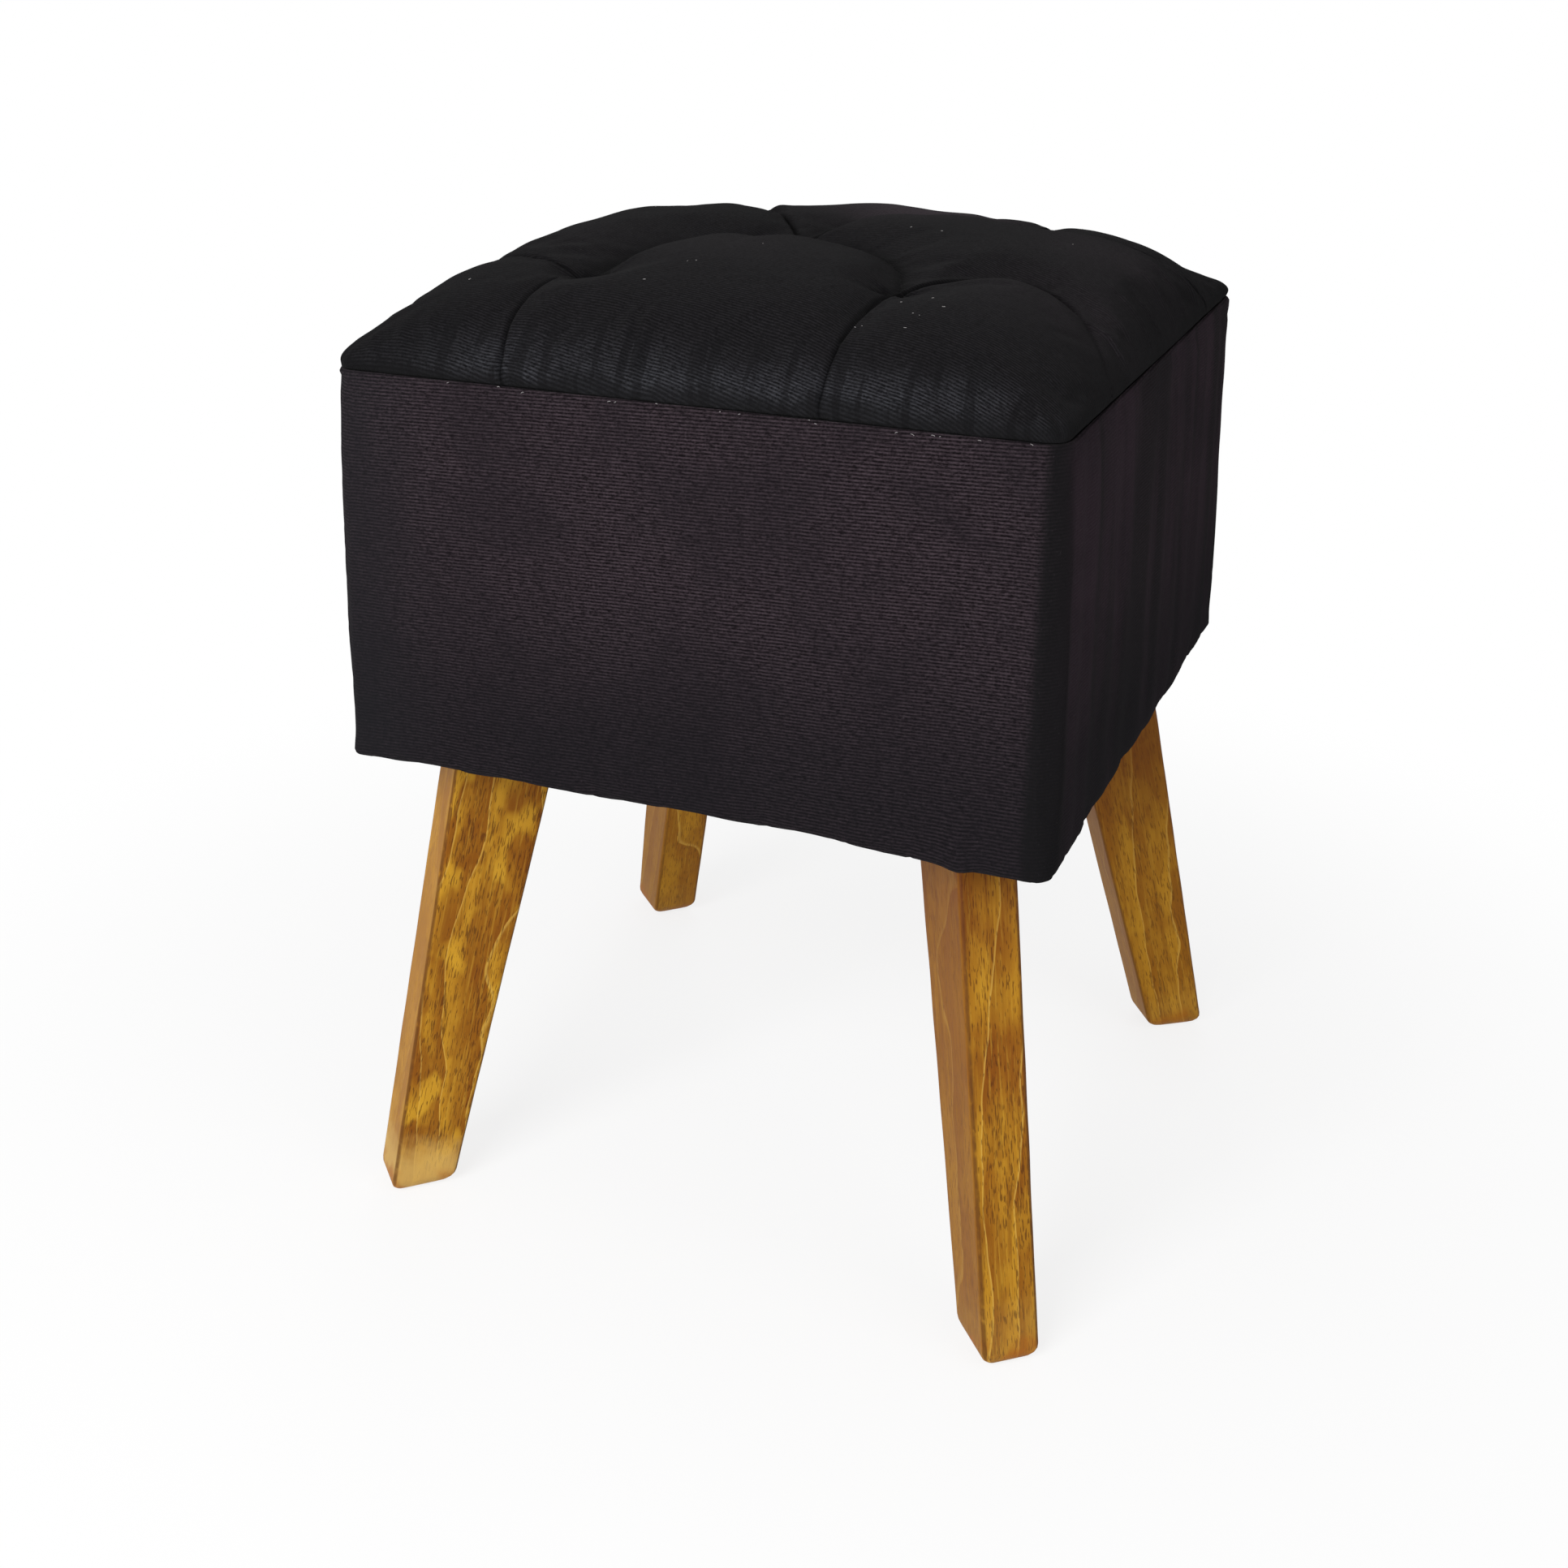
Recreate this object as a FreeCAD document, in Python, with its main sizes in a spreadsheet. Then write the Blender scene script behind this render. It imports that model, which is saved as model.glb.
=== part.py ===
import FreeCAD, Part
import math
import os

import Sketcher

# Square tufted pouf on four splayed pine legs, built up from its separate pieces.
# Millimetres, +Z up. The origin lies on the floor under the middle of the box,
# the front faces -Y and the right side faces +X.

DOCUMENT = FreeCAD.newDocument("tufted_pouf")
SIDES = 4
QUARTER_TURN = 90.0
FULL_TURN = 360.0
HEXAGON_SIDES = 6
LOFT_DEGREE = 3
NEARLY_ZERO = 1e-6
UP = FreeCAD.Vector(0, 0, 1)

# Driving sizes: name, value and what it measures.
SIZES = (
    # box and cover
    ("seam_padding", 10.0, "padding outside the panels at the seam between crown and sides"),
    ("hem_padding", 14.0, "padding outside the panels at the hem"),
    ("seat_edge", 21.0, "seat board to the seam"),
    ("side_swell", 1.5, "how far the padded sides stand out at half their height"),
    ("side_bow", 2.0, "how far each padded side bows out in plan"),
    ("corner_radius", 12.0, "upright corners of the cover at the seam"),
    ("hem_corner_radius", 7.0, "upright corners of the cover at the hem, where it is pulled tight"),
    ("hem_radius", 5.0, "turn of the cover under the box"),
    ("cover_thickness", 1.2, "suede-like cloth of the cover"),
    ("flange_lap", 9.0, "cover turned under the base board, from the panels' outside"),
    ("soft_gap", 0.3, "room between soft forms"),
    # crown and tufts
    ("crown_height", 49.0, "seam to the highest point of the crown"),
    ("crown_rim", 1.5, "upright edge of the crown at the seam"),
    ("dome_power", 3.5, "flatness of the dome, a pure number"),
    ("shoulder", 24.0, "width of the rounded shoulder inside the seam"),
    ("tuft_left", 81.0, "left tufts to the middle plane"),
    ("tuft_right", 73.0, "right tufts to the middle plane"),
    ("tuft_front", 90.0, "front tufts to the middle plane"),
    ("tuft_rear", 96.0, "rear tufts to the middle plane"),
    ("tuft_middle_x", -12.0, "middle tuft, across"),
    ("tuft_middle_y", 4.0, "middle tuft, front to back"),
    ("tuft_half", 4.0, "half the width of the pinch at the middle tuft"),
    ("tuft_depth", 15.0, "tufts below the dome"),
    ("fold_depth", 8.0, "folds below the dome"),
    # wooden box
    ("base_height", 262.0, "floor to the underside of the base board"),
    ("frame_half", 165.0, "middle of the box to the outside of the panels"),
    ("panel_height", 140.0, "side panels"),
    ("panel_thickness", 15.0, "side panels"),
    ("board_thickness", 15.0, "base board and seat board"),
    ("block_size", 62.0, "sides of a corner block"),
    ("block_height", 20.0, "thickness of a corner block"),
    ("block_bevel", 24.0, "bevel across the inner corner of a block"),
    # legs
    ("leg_inset", 59.3, "corner of the panels to the leg's middle at the base board, on the diagonal"),
    ("leg_top_width", 55.0, "wide side of a leg at the base board"),
    ("leg_foot_width", 35.0, "wide side of a leg on the floor"),
    ("leg_thickness", 30.0, "narrow side of a leg"),
    ("leg_arris", 2.5, "rounding of a leg's long edges"),
    ("foot_round", 5.0, "rounding of a leg's foot"),
    # the legs are set by hand, so each leans out and turns a little differently
    ("splay_rear_right", 69.5, "rear right foot, further out than its leg's top"),
    ("splay_rear_left", 80.0, "rear left foot, further out than its leg's top"),
    ("splay_front_left", 64.0, "front left foot, further out than its leg's top"),
    ("splay_front_right", 74.0, "front right foot, further out than its leg's top"),
    ("turn_rear_right", -10.0, "degrees from the diagonal to the rear right leg"),
    ("turn_rear_left", -0.5, "degrees from the diagonal to the rear left leg"),
    ("turn_front_left", -1.2, "degrees from the diagonal to the front left leg"),
    ("turn_front_right", -5.1, "degrees from the diagonal to the front right leg"),
    # coach screws and washers of the legs
    ("coach_pitch", 24.0, "from one coach screw to the next"),
    ("coach_radius", 3.0, "shank of a coach screw"),
    ("coach_length", 72.0, "coach screw under its head"),
    ("coach_point", 5.0, "pointed end of a coach screw"),
    ("coach_head_width", 10.0, "hexagon head across its flats"),
    ("coach_head_height", 4.0, "hexagon head"),
    ("washer_radius", 8.0, "washer under a coach screw"),
    ("washer_thickness", 1.6, "washer under a coach screw"),
    # countersunk screws of the box
    ("screw_length", 42.0, "countersunk screw, over all"),
    ("screw_radius", 2.2, "shank of a countersunk screw"),
    ("screw_head_radius", 4.2, "head of a countersunk screw"),
    ("screw_head_depth", 2.6, "countersink"),
    ("screw_point", 4.0, "pointed end of a countersunk screw"),
    ("screw_inset", 32.0, "panel screws from the panel's upper and lower edge"),
    ("screw_spread", 95.0, "board screws to the middle of each side"),
    ("hole_clearance", 0.15, "room round a screw in its hole"),
    # twine and its discs
    ("twine_radius", 1.0, "tuft twine"),
    ("knot_radius", 3.2, "knot of the twine under its disc"),
    ("disc_radius", 11.0, "disc that holds a twine under the seat board"),
    ("disc_thickness", 2.5, "disc that holds a twine under the seat board"),
    ("twine_hole_radius", 3.0, "hole for a twine in the seat board"),
    # cloth under the box
    ("dust_thickness", 0.8, "dust cloth"),
    ("dust_inset", 2.0, "edge of the dust cloth inside the panels' outside"),
    ("dust_leg_gap", 0.8, "room round a leg in the dust cloth"),
)

# Where the level sections of the sides lie: degrees round the hem, then shares up the wall.
HEM_ANGLES = (0, 25, 45, 65, 90)
WALL_ROW_SHARES = (0.2, 0.4, 0.6, 0.8, 1.0)

# Shares of a length: where the sections of the crown lie and how its folds fade.
EDGE_ROW_SHARES = (0.0, 0.02, 0.06, 0.14, 0.22, 0.36, 0.56, 0.78, 1.0)
INNER_ROW_SHARES = (0.0, 0.25, 0.5, 0.75, 1.0)
EDGE_BOW_SHARE = 0.32
ROW_FOLD_PUFF_SHARE = 0.6
ROW_FOLD_SHOULDER_SHARE = 0.25
EDGE_FOLD_FADE_SHARE = 0.6


def make_sheet():
    """Spreadsheet of the driving sizes, one named cell each."""
    sheet = DOCUMENT.addObject("Spreadsheet::Sheet", "Sizes")
    for row, (name, value, meaning) in enumerate(SIZES, start=1):
        sheet.set("A%d" % row, name)
        sheet.set("B%d" % row, str(value))
        sheet.set("C%d" % row, meaning)
        sheet.setAlias("B%d" % row, name)
    DOCUMENT.recompute()
    return sheet


SHEET = make_sheet()
SUB_PARTS = []


def size(name):
    """Value of a named size."""
    return float(SHEET.get(name))


def cell(name):
    """Name of a size as an expression uses it."""
    return "Sizes." + name


def frame_top():
    """Height of the seat board's upper face."""
    return size("base_height") + 2 * size("board_thickness") + size("panel_height")


def seam_height():
    """Height of the seam between crown and sides."""
    return frame_top() + size("seat_edge")


def seam_half():
    """Middle of the box to the seam."""
    return size("frame_half") + size("seam_padding")


def hem_half():
    """Middle of the box to the padded side just above the hem."""
    return size("frame_half") + size("hem_padding")


# Expressions that several pieces share.
PANEL_MIDDLE = cell("frame_half") + " - " + cell("panel_thickness") + " / 2"
PANEL_INSIDE = cell("frame_half") + " - " + cell("panel_thickness")
PANEL_BOTTOM = cell("base_height") + " + " + cell("board_thickness")
PANEL_TOP = PANEL_BOTTOM + " + " + cell("panel_height")
FRAME_TOP = PANEL_TOP + " + " + cell("board_thickness")
COACH_SEAT = PANEL_BOTTOM + " + " + cell("block_height")
DIAGONAL = "%g deg" % (QUARTER_TURN / 2)
LEG_TOP_REACH = cell("frame_half") + " / cos(" + DIAGONAL + ") - " + cell("leg_inset")
LEG_CORNERS = (("rear_right", 0.5), ("rear_left", 1.5), ("front_left", 2.5), ("front_right", 3.5))
COACH_REACHES = tuple(LEG_TOP_REACH + sign + cell("coach_pitch") + " / 2" for sign in (" - ", " + "))
TUFTS = (
    ("-" + cell("tuft_left"), "-" + cell("tuft_front")),
    (cell("tuft_right"), "-" + cell("tuft_front")),
    (cell("tuft_middle_x"), cell("tuft_middle_y")),
    ("-" + cell("tuft_left"), cell("tuft_rear")),
    (cell("tuft_right"), cell("tuft_rear")),
)


def new_body(label, turn=0.0):
    """Body of one sub-part, turned about the upright axis."""
    body = DOCUMENT.addObject("PartDesign::Body", label)
    body.Label = label
    body.Placement = FreeCAD.Placement(FreeCAD.Vector(), FreeCAD.Rotation(UP, turn))
    SUB_PARTS.append(body)
    return body


def origin_feature(body, role):
    """Plane or axis of the body's own origin."""
    for feature in body.Origin.OriginFeatures:
        if feature.Role == role:
            return feature
    raise ValueError(role)


def new_sketch(body, name, role, offset):
    """Sketch on an origin plane, moved by the expressions in offset."""
    sketch = body.newObject("Sketcher::SketchObject", body.Label + "_" + name)
    sketch.AttachmentSupport = (origin_feature(body, role), [""])
    sketch.MapMode = "FlatFace"
    for axis, expression in offset.items():
        sketch.setExpression("AttachmentOffset.Base." + axis, expression)
    return sketch


def bind(sketch, kind, arguments, start, name, expression):
    """Named constraint whose value follows an expression."""
    index = sketch.addConstraint(Sketcher.Constraint(kind, *arguments, start))
    sketch.renameConstraint(index, name)
    sketch.setExpression("Constraints." + name, expression)


def draw_outline(sketch, points):
    """Closed outline of straight lines through points given as pairs of expressions."""
    # The corners start on a curve, so that no two lines lie in line before they are bound.
    count = len(points)
    for index in range(count):
        start = FreeCAD.Vector(index, index * index, 0)
        end = FreeCAD.Vector(index + 1, (index + 1) ** 2, 0)
        sketch.addGeometry(Part.LineSegment(start, end), False)
    for index in range(count):
        sketch.addConstraint(Sketcher.Constraint("Coincident", index, 2, (index + 1) % count, 1))
    for index, (across, along) in enumerate(points):
        bind(sketch, "DistanceX", (-1, 1, index, 1), index + 1, "across_%d" % index, across)
        bind(sketch, "DistanceY", (-1, 1, index, 1), index + 1, "along_%d" % index, along)


def draw_circles(sketch, places, radius):
    """Circles of one radius about places given as pairs of expressions."""
    for index, (across, along) in enumerate(places):
        centre = FreeCAD.Vector(index + 1, index + 1, 0)
        sketch.addGeometry(Part.Circle(centre, UP, 1), False)
        bind(sketch, "DistanceX", (-1, 1, index, 3), index + 1, "across_%d" % index, across)
        bind(sketch, "DistanceY", (-1, 1, index, 3), index + 1, "along_%d" % index, along)
        bind(sketch, "Radius", (index,), 1, "radius_%d" % index, radius)


def square(half):
    """Corners of a square about the middle."""
    return ((f"-({half})", f"-({half})"), (half, f"-({half})"), (half, half), (f"-({half})", half))


def add_pad(body, name, points, bottom, height):
    """Level plate of an outline, from the height bottom upwards."""
    sketch = new_sketch(body, name + "_outline", "XY_Plane", {"z": bottom})
    draw_outline(sketch, points)
    pad = body.newObject("PartDesign::Pad", body.Label + "_" + name)
    pad.Profile = sketch
    pad.setExpression("Length", height)
    return pad


def cut_level(body, name, sketch, height):
    """Pocket upwards from a level sketch; the cut volume is compared afterwards."""
    before = body.Shape.Volume
    pocket = body.newObject("PartDesign::Pocket", body.Label + "_" + name)
    pocket.Profile = sketch
    pocket.Reversed = True
    pocket.setExpression("Length", height)
    DOCUMENT.recompute()
    if not pocket.Shape.Volume < before:
        raise ValueError(pocket.Label + " cuts nothing")
    return pocket


def turn_round(body, kind, name, role, axis, offset, points):
    """Revolution or Groove of an outline about one axis of its sketch."""
    sketch = new_sketch(body, name + "_profile", role, offset)
    draw_outline(sketch, points)
    feature = body.newObject("PartDesign::" + kind, body.Label + "_" + name)
    feature.Profile = sketch
    feature.ReferenceAxis = (sketch, [axis])
    feature.Angle = FULL_TURN
    return feature


def repeat_round(body, name, features):
    """The features once for each side of the box."""
    DOCUMENT.recompute()
    pattern = body.newObject("PartDesign::PolarPattern", body.Label + "_" + name)
    pattern.Originals = features
    pattern.Axis = (origin_feature(body, "Z_Axis"), [""])
    pattern.Angle = FULL_TURN
    pattern.Occurrences = SIDES
    body.Tip = pattern
    return pattern


def screw_profile(sign, hole=False):
    """Half profile of a countersunk screw, or of its hole: distance from the axis, then depth."""
    wider = " + " + cell("hole_clearance") if hole else ""
    head = cell("screw_head_radius") + wider
    shank = cell("screw_radius") + wider
    tip = f"{sign}({cell('screw_length')}{wider})"
    neck = f"{sign}({cell('screw_head_depth')}{wider})"
    shoulder = f"{sign}({cell('screw_length')} - {cell('screw_point')}{wider})"
    return (("0 mm", "0 mm"), (head, "0 mm"), (shank, neck), (shank, shoulder), ("0 mm", tip))


def swapped(points):
    """The same profile lying along the sketch's level axis."""
    return tuple((along, across) for across, along in points)


def coach_profile(hole=False):
    """Half profile of a coach screw's shank, or of its hole, downwards from the washer's top."""
    wider = " + " + cell("hole_clearance") if hole else ""
    shank = cell("coach_radius") + wider
    tip = f"-({cell('coach_length')}{wider})"
    shoulder = f"-({cell('coach_length')} - {cell('coach_point')}{wider})"
    return (("0 mm", "0 mm"), (shank, "0 mm"), (shank, shoulder), ("0 mm", tip))


def leg_angles(corner, quarters):
    """Angle of a corner's diagonal, and of the leg that stands there, as expressions."""
    diagonal = "%g deg" % (QUARTER_TURN * quarters)
    return diagonal, diagonal + " + " + leg_turn(corner)


def leg_turn(corner):
    """Angle from a corner's diagonal to its leg, as an expression."""
    return cell("turn_" + corner) + " * 1 deg"


def make_leg(corner, quarters):
    """Tapered board that leans out near a diagonal, drawn along +X from the middle of its top."""
    label = "leg_" + corner
    body = new_body(label)
    diagonal, direction = leg_angles(corner, quarters)
    body.setExpression("Placement.Base.x", f"({LEG_TOP_REACH}) * cos({diagonal})")
    body.setExpression("Placement.Base.y", f"({LEG_TOP_REACH}) * sin({diagonal})")
    body.setExpression("Placement.Rotation.Angle", direction)
    half_top = cell("leg_top_width") + " / 2"
    half_foot = cell("leg_foot_width") + " / 2"
    splay = cell("splay_" + corner)
    points = (
        (f"{splay} - {half_foot}", "0 mm"),
        (f"{splay} + {half_foot}", "0 mm"),
        (half_top, cell("base_height")),
        ("-" + half_top, cell("base_height")),
    )
    sketch = new_sketch(body, "side", "XZ_Plane", {})
    draw_outline(sketch, points)
    board = body.newObject("PartDesign::Pad", label + "_board")
    board.Profile = sketch
    board.Midplane = True
    board.setExpression("Length", cell("leg_thickness"))
    DOCUMENT.recompute()
    foot = body.newObject("PartDesign::Fillet", label + "_foot")
    foot.Base = (board, [name for name, box in edge_boxes(board) if box.ZMax < size("leg_arris")])
    foot.setExpression("Radius", cell("foot_round"))
    DOCUMENT.recompute()
    arrises = body.newObject("PartDesign::Fillet", label + "_arrises")
    long_edges = [name for name, box in edge_boxes(foot) if box.ZLength > size("base_height") / 2]
    arrises.Base = (foot, long_edges)
    arrises.setExpression("Radius", cell("leg_arris"))
    coach_holes(body, leg_turn(corner))
    return body


def edge_boxes(feature):
    """Bounding boxes of a feature's edges, with the names that a dress-up feature asks for."""
    return [("Edge%d" % number, edge.BoundBox) for number, edge in enumerate(feature.Shape.Edges, start=1)]


def coach_holes(body, turn):
    """Two holes on the diagonal for the coach screws in a leg, measured from the washers downwards."""
    for number, sign in enumerate(("-", ""), start=1):
        reach = f"{sign}{cell('coach_pitch')} / 2"
        offset = {"x": f"{reach} * cos({turn})", "y": COACH_SEAT + " + " + cell("washer_thickness"),
                  "z": f"{reach} * sin({turn})"}
        turn_round(body, "Groove", "coach_hole_%d" % number, "XZ_Plane", "V_Axis", offset,
                   coach_profile(True))


def make_board(label, bottom, screw_face, sign):
    """Square board under or over the panels, with its screw holes and twine or coach holes."""
    body = new_body(label)
    add_pad(body, "board", square(cell("frame_half")), bottom, cell("board_thickness"))
    grooves = []
    for number, side in enumerate(("", "-"), start=1):
        offset = {"x": side + cell("screw_spread"), "y": screw_face, "z": PANEL_MIDDLE}
        grooves.append(turn_round(body, "Groove", "screw_hole_%d" % number, "XZ_Plane", "V_Axis",
                                  offset, screw_profile(sign, True)))
    repeat_round(body, "screw_holes", grooves)
    return body


def make_base_board():
    """Base board with the holes of the coach screws through it."""
    body = make_board("base_board", cell("base_height"), cell("base_height"), "")
    diagonal_holes(body, "coach_holes", cell("base_height"), cell("board_thickness"))
    return body


def diagonal_holes(body, name, bottom, height):
    """Round holes for the coach screws on the diagonals of the box."""
    sketch = new_sketch(body, name + "_circles", "XY_Plane", {"z": bottom})
    places = []
    for reach in COACH_REACHES:
        for turn in range(SIDES):
            angle = "%g deg" % (QUARTER_TURN * (turn + 0.5))
            places.append((f"({reach}) * cos({angle})", f"({reach}) * sin({angle})"))
    draw_circles(sketch, places, cell("coach_radius") + " + " + cell("hole_clearance"))
    cut_level(body, name, sketch, height)


def make_seat_board():
    """Seat board with a hole for each tuft's twine."""
    body = make_board("seat_board", PANEL_TOP, FRAME_TOP, "-")
    sketch = new_sketch(body, "twine_circles", "XY_Plane", {"z": PANEL_TOP})
    draw_circles(sketch, TUFTS, cell("twine_hole_radius"))
    DOCUMENT.recompute()
    cut_level(body, "twine_holes", sketch, cell("board_thickness"))
    return body


def make_panel(label, turn):
    """Side panel: its right end covers the next panel's end, its left end butts behind the last."""
    body = new_body(label, turn)
    outer = cell("frame_half")
    inner = PANEL_INSIDE
    points = ((f"-({inner})", f"-{outer}"), (outer, f"-{outer}"),
              (outer, f"-({inner})"), (f"-({inner})", f"-({inner})"))
    add_pad(body, "board", points, PANEL_BOTTOM, cell("panel_height"))
    low = PANEL_BOTTOM + " + " + cell("screw_inset")
    high = PANEL_TOP + " - " + cell("screw_inset")
    for number, level in enumerate((low, high), start=1):
        face = {"x": PANEL_MIDDLE, "y": "-" + outer, "z": level}
        turn_round(body, "Groove", "face_hole_%d" % number, "XY_Plane", "V_Axis", face,
                   screw_profile("", True))
        end = {"x": "-" + outer, "y": f"-({PANEL_MIDDLE})", "z": level}
        turn_round(body, "Groove", "end_hole_%d" % number, "XY_Plane", "H_Axis", end,
                   swapped(screw_profile("", True)))
    for number, side in enumerate(("", "-"), start=1):
        low_face = {"x": side + cell("screw_spread"), "y": cell("base_height"), "z": PANEL_MIDDLE}
        turn_round(body, "Groove", "base_hole_%d" % number, "XZ_Plane", "V_Axis", low_face,
                   screw_profile("", True))
        high_face = {"x": side + cell("screw_spread"), "y": FRAME_TOP, "z": PANEL_MIDDLE}
        turn_round(body, "Groove", "seat_hole_%d" % number, "XZ_Plane", "V_Axis", high_face,
                   screw_profile("-", True))
    return body


def make_block(label, turn):
    """Corner block on the base board, drawn in the rear right corner and turned."""
    body = new_body(label, turn)
    outer = PANEL_INSIDE
    inner = f"{PANEL_INSIDE} - {cell('block_size')}"
    bevel = f"{inner} + {cell('block_bevel')}"
    points = ((bevel, inner), (outer, inner), (outer, outer), (inner, outer), (inner, bevel))
    add_pad(body, "block", points, PANEL_BOTTOM, cell("block_height"))
    sketch = new_sketch(body, "coach_circles", "XY_Plane", {"z": PANEL_BOTTOM})
    places = [(f"({reach}) * cos({DIAGONAL})", f"({reach}) * sin({DIAGONAL})") for reach in COACH_REACHES]
    draw_circles(sketch, places, cell("coach_radius") + " + " + cell("hole_clearance"))
    DOCUMENT.recompute()
    cut_level(body, "coach_holes", sketch, cell("block_height"))
    return body


def make_screws(label, role, offsets, profile):
    """Countersunk screws at the given places, once for each side of the box."""
    body = new_body(label)
    screws = [turn_round(body, "Revolution", "screw_%d" % number, role, "V_Axis", offset, profile)
              for number, offset in enumerate(offsets, start=1)]
    repeat_round(body, "all_sides", screws)
    return body


def make_panel_screws():
    """Screws through each panel into the end of the next, two at each corner."""
    low = PANEL_BOTTOM + " + " + cell("screw_inset")
    high = PANEL_TOP + " - " + cell("screw_inset")
    offsets = [{"x": PANEL_MIDDLE, "y": "-" + cell("frame_half"), "z": level} for level in (low, high)]
    return make_screws("panel_screws", "XY_Plane", offsets, screw_profile(""))


def make_board_screws(label, face, sign):
    """Screws through the base board or the seat board into the panels' edges."""
    offsets = [{"x": side + cell("screw_spread"), "y": face, "z": PANEL_MIDDLE} for side in ("", "-")]
    return make_screws(label, "XZ_Plane", offsets, screw_profile(sign))


def make_coach_screws():
    """Hexagon coach screws that hold the legs, two on each diagonal."""
    body = new_body("leg_screws", QUARTER_TURN / 2)
    step = FULL_TURN / HEXAGON_SIDES
    corner_radius = f"{cell('coach_head_width')} / 2 / cos({step / 2:g} deg)"
    seat = COACH_SEAT + " + " + cell("washer_thickness")
    features = []
    for number, reach in enumerate(COACH_REACHES, start=1):
        points = [(f"{reach} + {corner_radius} * cos({step * corner:g} deg)",
                   f"{corner_radius} * sin({step * corner:g} deg)") for corner in range(HEXAGON_SIDES)]
        features.append(add_pad(body, "head_%d" % number, points, seat, cell("coach_head_height")))
        features.append(turn_round(body, "Revolution", "shank_%d" % number, "XZ_Plane", "V_Axis",
                                   {"x": reach, "y": seat}, coach_profile()))
    repeat_round(body, "all_legs", features)
    return body


def make_washers():
    """Washers between the coach screws' heads and the corner blocks."""
    body = new_body("leg_washers", QUARTER_TURN / 2)
    bore = cell("coach_radius") + " + " + cell("hole_clearance")
    profile = ((bore, "0 mm"), (cell("washer_radius"), "0 mm"),
               (cell("washer_radius"), cell("washer_thickness")), (bore, cell("washer_thickness")))
    rings = [turn_round(body, "Revolution", "ring_%d" % number, "XZ_Plane", "V_Axis",
                        {"x": reach, "y": COACH_SEAT}, profile)
             for number, reach in enumerate(COACH_REACHES, start=1)]
    repeat_round(body, "all_legs", rings)
    return body


def make_discs():
    """Discs under the seat board that hold the tuft twines."""
    body = new_body("tuft_discs")
    bore = cell("twine_radius") + " + " + cell("hole_clearance")
    profile = ((bore, "0 mm"), (cell("disc_radius"), "0 mm"),
               (cell("disc_radius"), "-" + cell("disc_thickness")), (bore, "-" + cell("disc_thickness")))
    for number, (across, along) in enumerate(TUFTS, start=1):
        turn_round(body, "Revolution", "disc_%d" % number, "XZ_Plane", "V_Axis",
                   {"x": across, "y": PANEL_TOP, "z": f"-({along})"}, profile)
    return body


def make_dust_cloth():
    """Thin cloth under the base board; its margin steps down over the turned-under cover."""
    body = new_body("dust_cloth")
    step = cell("frame_half") + " - " + cell("flange_lap") + " - " + cell("soft_gap")
    margin_top = cell("base_height") + " - " + cell("cover_thickness")
    margin_bottom = margin_top + " - " + cell("dust_thickness")
    edge = cell("frame_half") + " - " + cell("dust_inset")
    add_pad(body, "margin", square(edge), margin_bottom, cell("dust_thickness"))
    add_pad(body, "middle", square(step), margin_top, cell("cover_thickness"))
    DOCUMENT.recompute()
    sketch = new_sketch(body, "hollow_outline", "XY_Plane", {"z": margin_bottom})
    draw_outline(sketch, square(step + " - " + cell("dust_thickness")))
    cut_level(body, "hollow", sketch, cell("cover_thickness"))
    for corner, quarters in LEG_CORNERS:
        opening = new_sketch(body, corner + "_outline", "XY_Plane", {"z": margin_bottom})
        draw_outline(opening, leg_outline(corner, quarters))
        DOCUMENT.recompute()
        cut_level(body, corner + "_opening", opening, cell("cover_thickness") + " + " + cell("dust_thickness"))
    return body


def leg_outline(corner, quarters):
    """Corners of a leg's top in plan with the room that the dust cloth leaves, as expressions."""
    diagonal, direction = leg_angles(corner, quarters)
    half_width = f"({cell('leg_top_width')} / 2 + {cell('dust_leg_gap')})"
    half_thick = f"({cell('leg_thickness')} / 2 + {cell('dust_leg_gap')})"
    points = []
    for along, left, right in (("-", "-", "+"), ("+", "-", "+"), ("+", "+", "-"), ("-", "+", "-")):
        points.append((f"({LEG_TOP_REACH}) * cos({diagonal}) {along} {half_width} * cos({direction})"
                       f" {right} {half_thick} * sin({direction})",
                       f"({LEG_TOP_REACH}) * sin({diagonal}) {along} {half_width} * sin({direction})"
                       f" {left} {half_thick} * cos({direction})"))
    return points


def line(start, end):
    """Straight edge."""
    return Part.LineSegment(start, end).toShape()


def bow(start, middle, end):
    """Arc through three points, or the straight edge where they lie in line."""
    chord = end - start
    if (middle - start).cross(chord).Length < NEARLY_ZERO * chord.Length:
        return line(start, end)
    return Part.Arc(start, middle, end).toShape()


def wall_section(half, height, bowing, corner):
    """Level outline of the box: four sides that bow out a little, with rounded corners."""
    flat = half - corner
    lean = corner * (1 - math.cos(math.radians(QUARTER_TURN / 2)))
    edges = []
    for side in range(SIDES):
        turn = FreeCAD.Rotation(UP, QUARTER_TURN * side)
        points = [FreeCAD.Vector(-flat, -half, 0), FreeCAD.Vector(0, -half - bowing, 0),
                  FreeCAD.Vector(flat, -half, 0), FreeCAD.Vector(half - lean, -half + lean, 0),
                  FreeCAD.Vector(half, -flat, 0)]
        points = [turn.multVec(point) + UP * height for point in points]
        edges.append(bow(*points[:3]))
        edges.append(bow(*points[2:]))
    return Part.Wire(edges)


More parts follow.
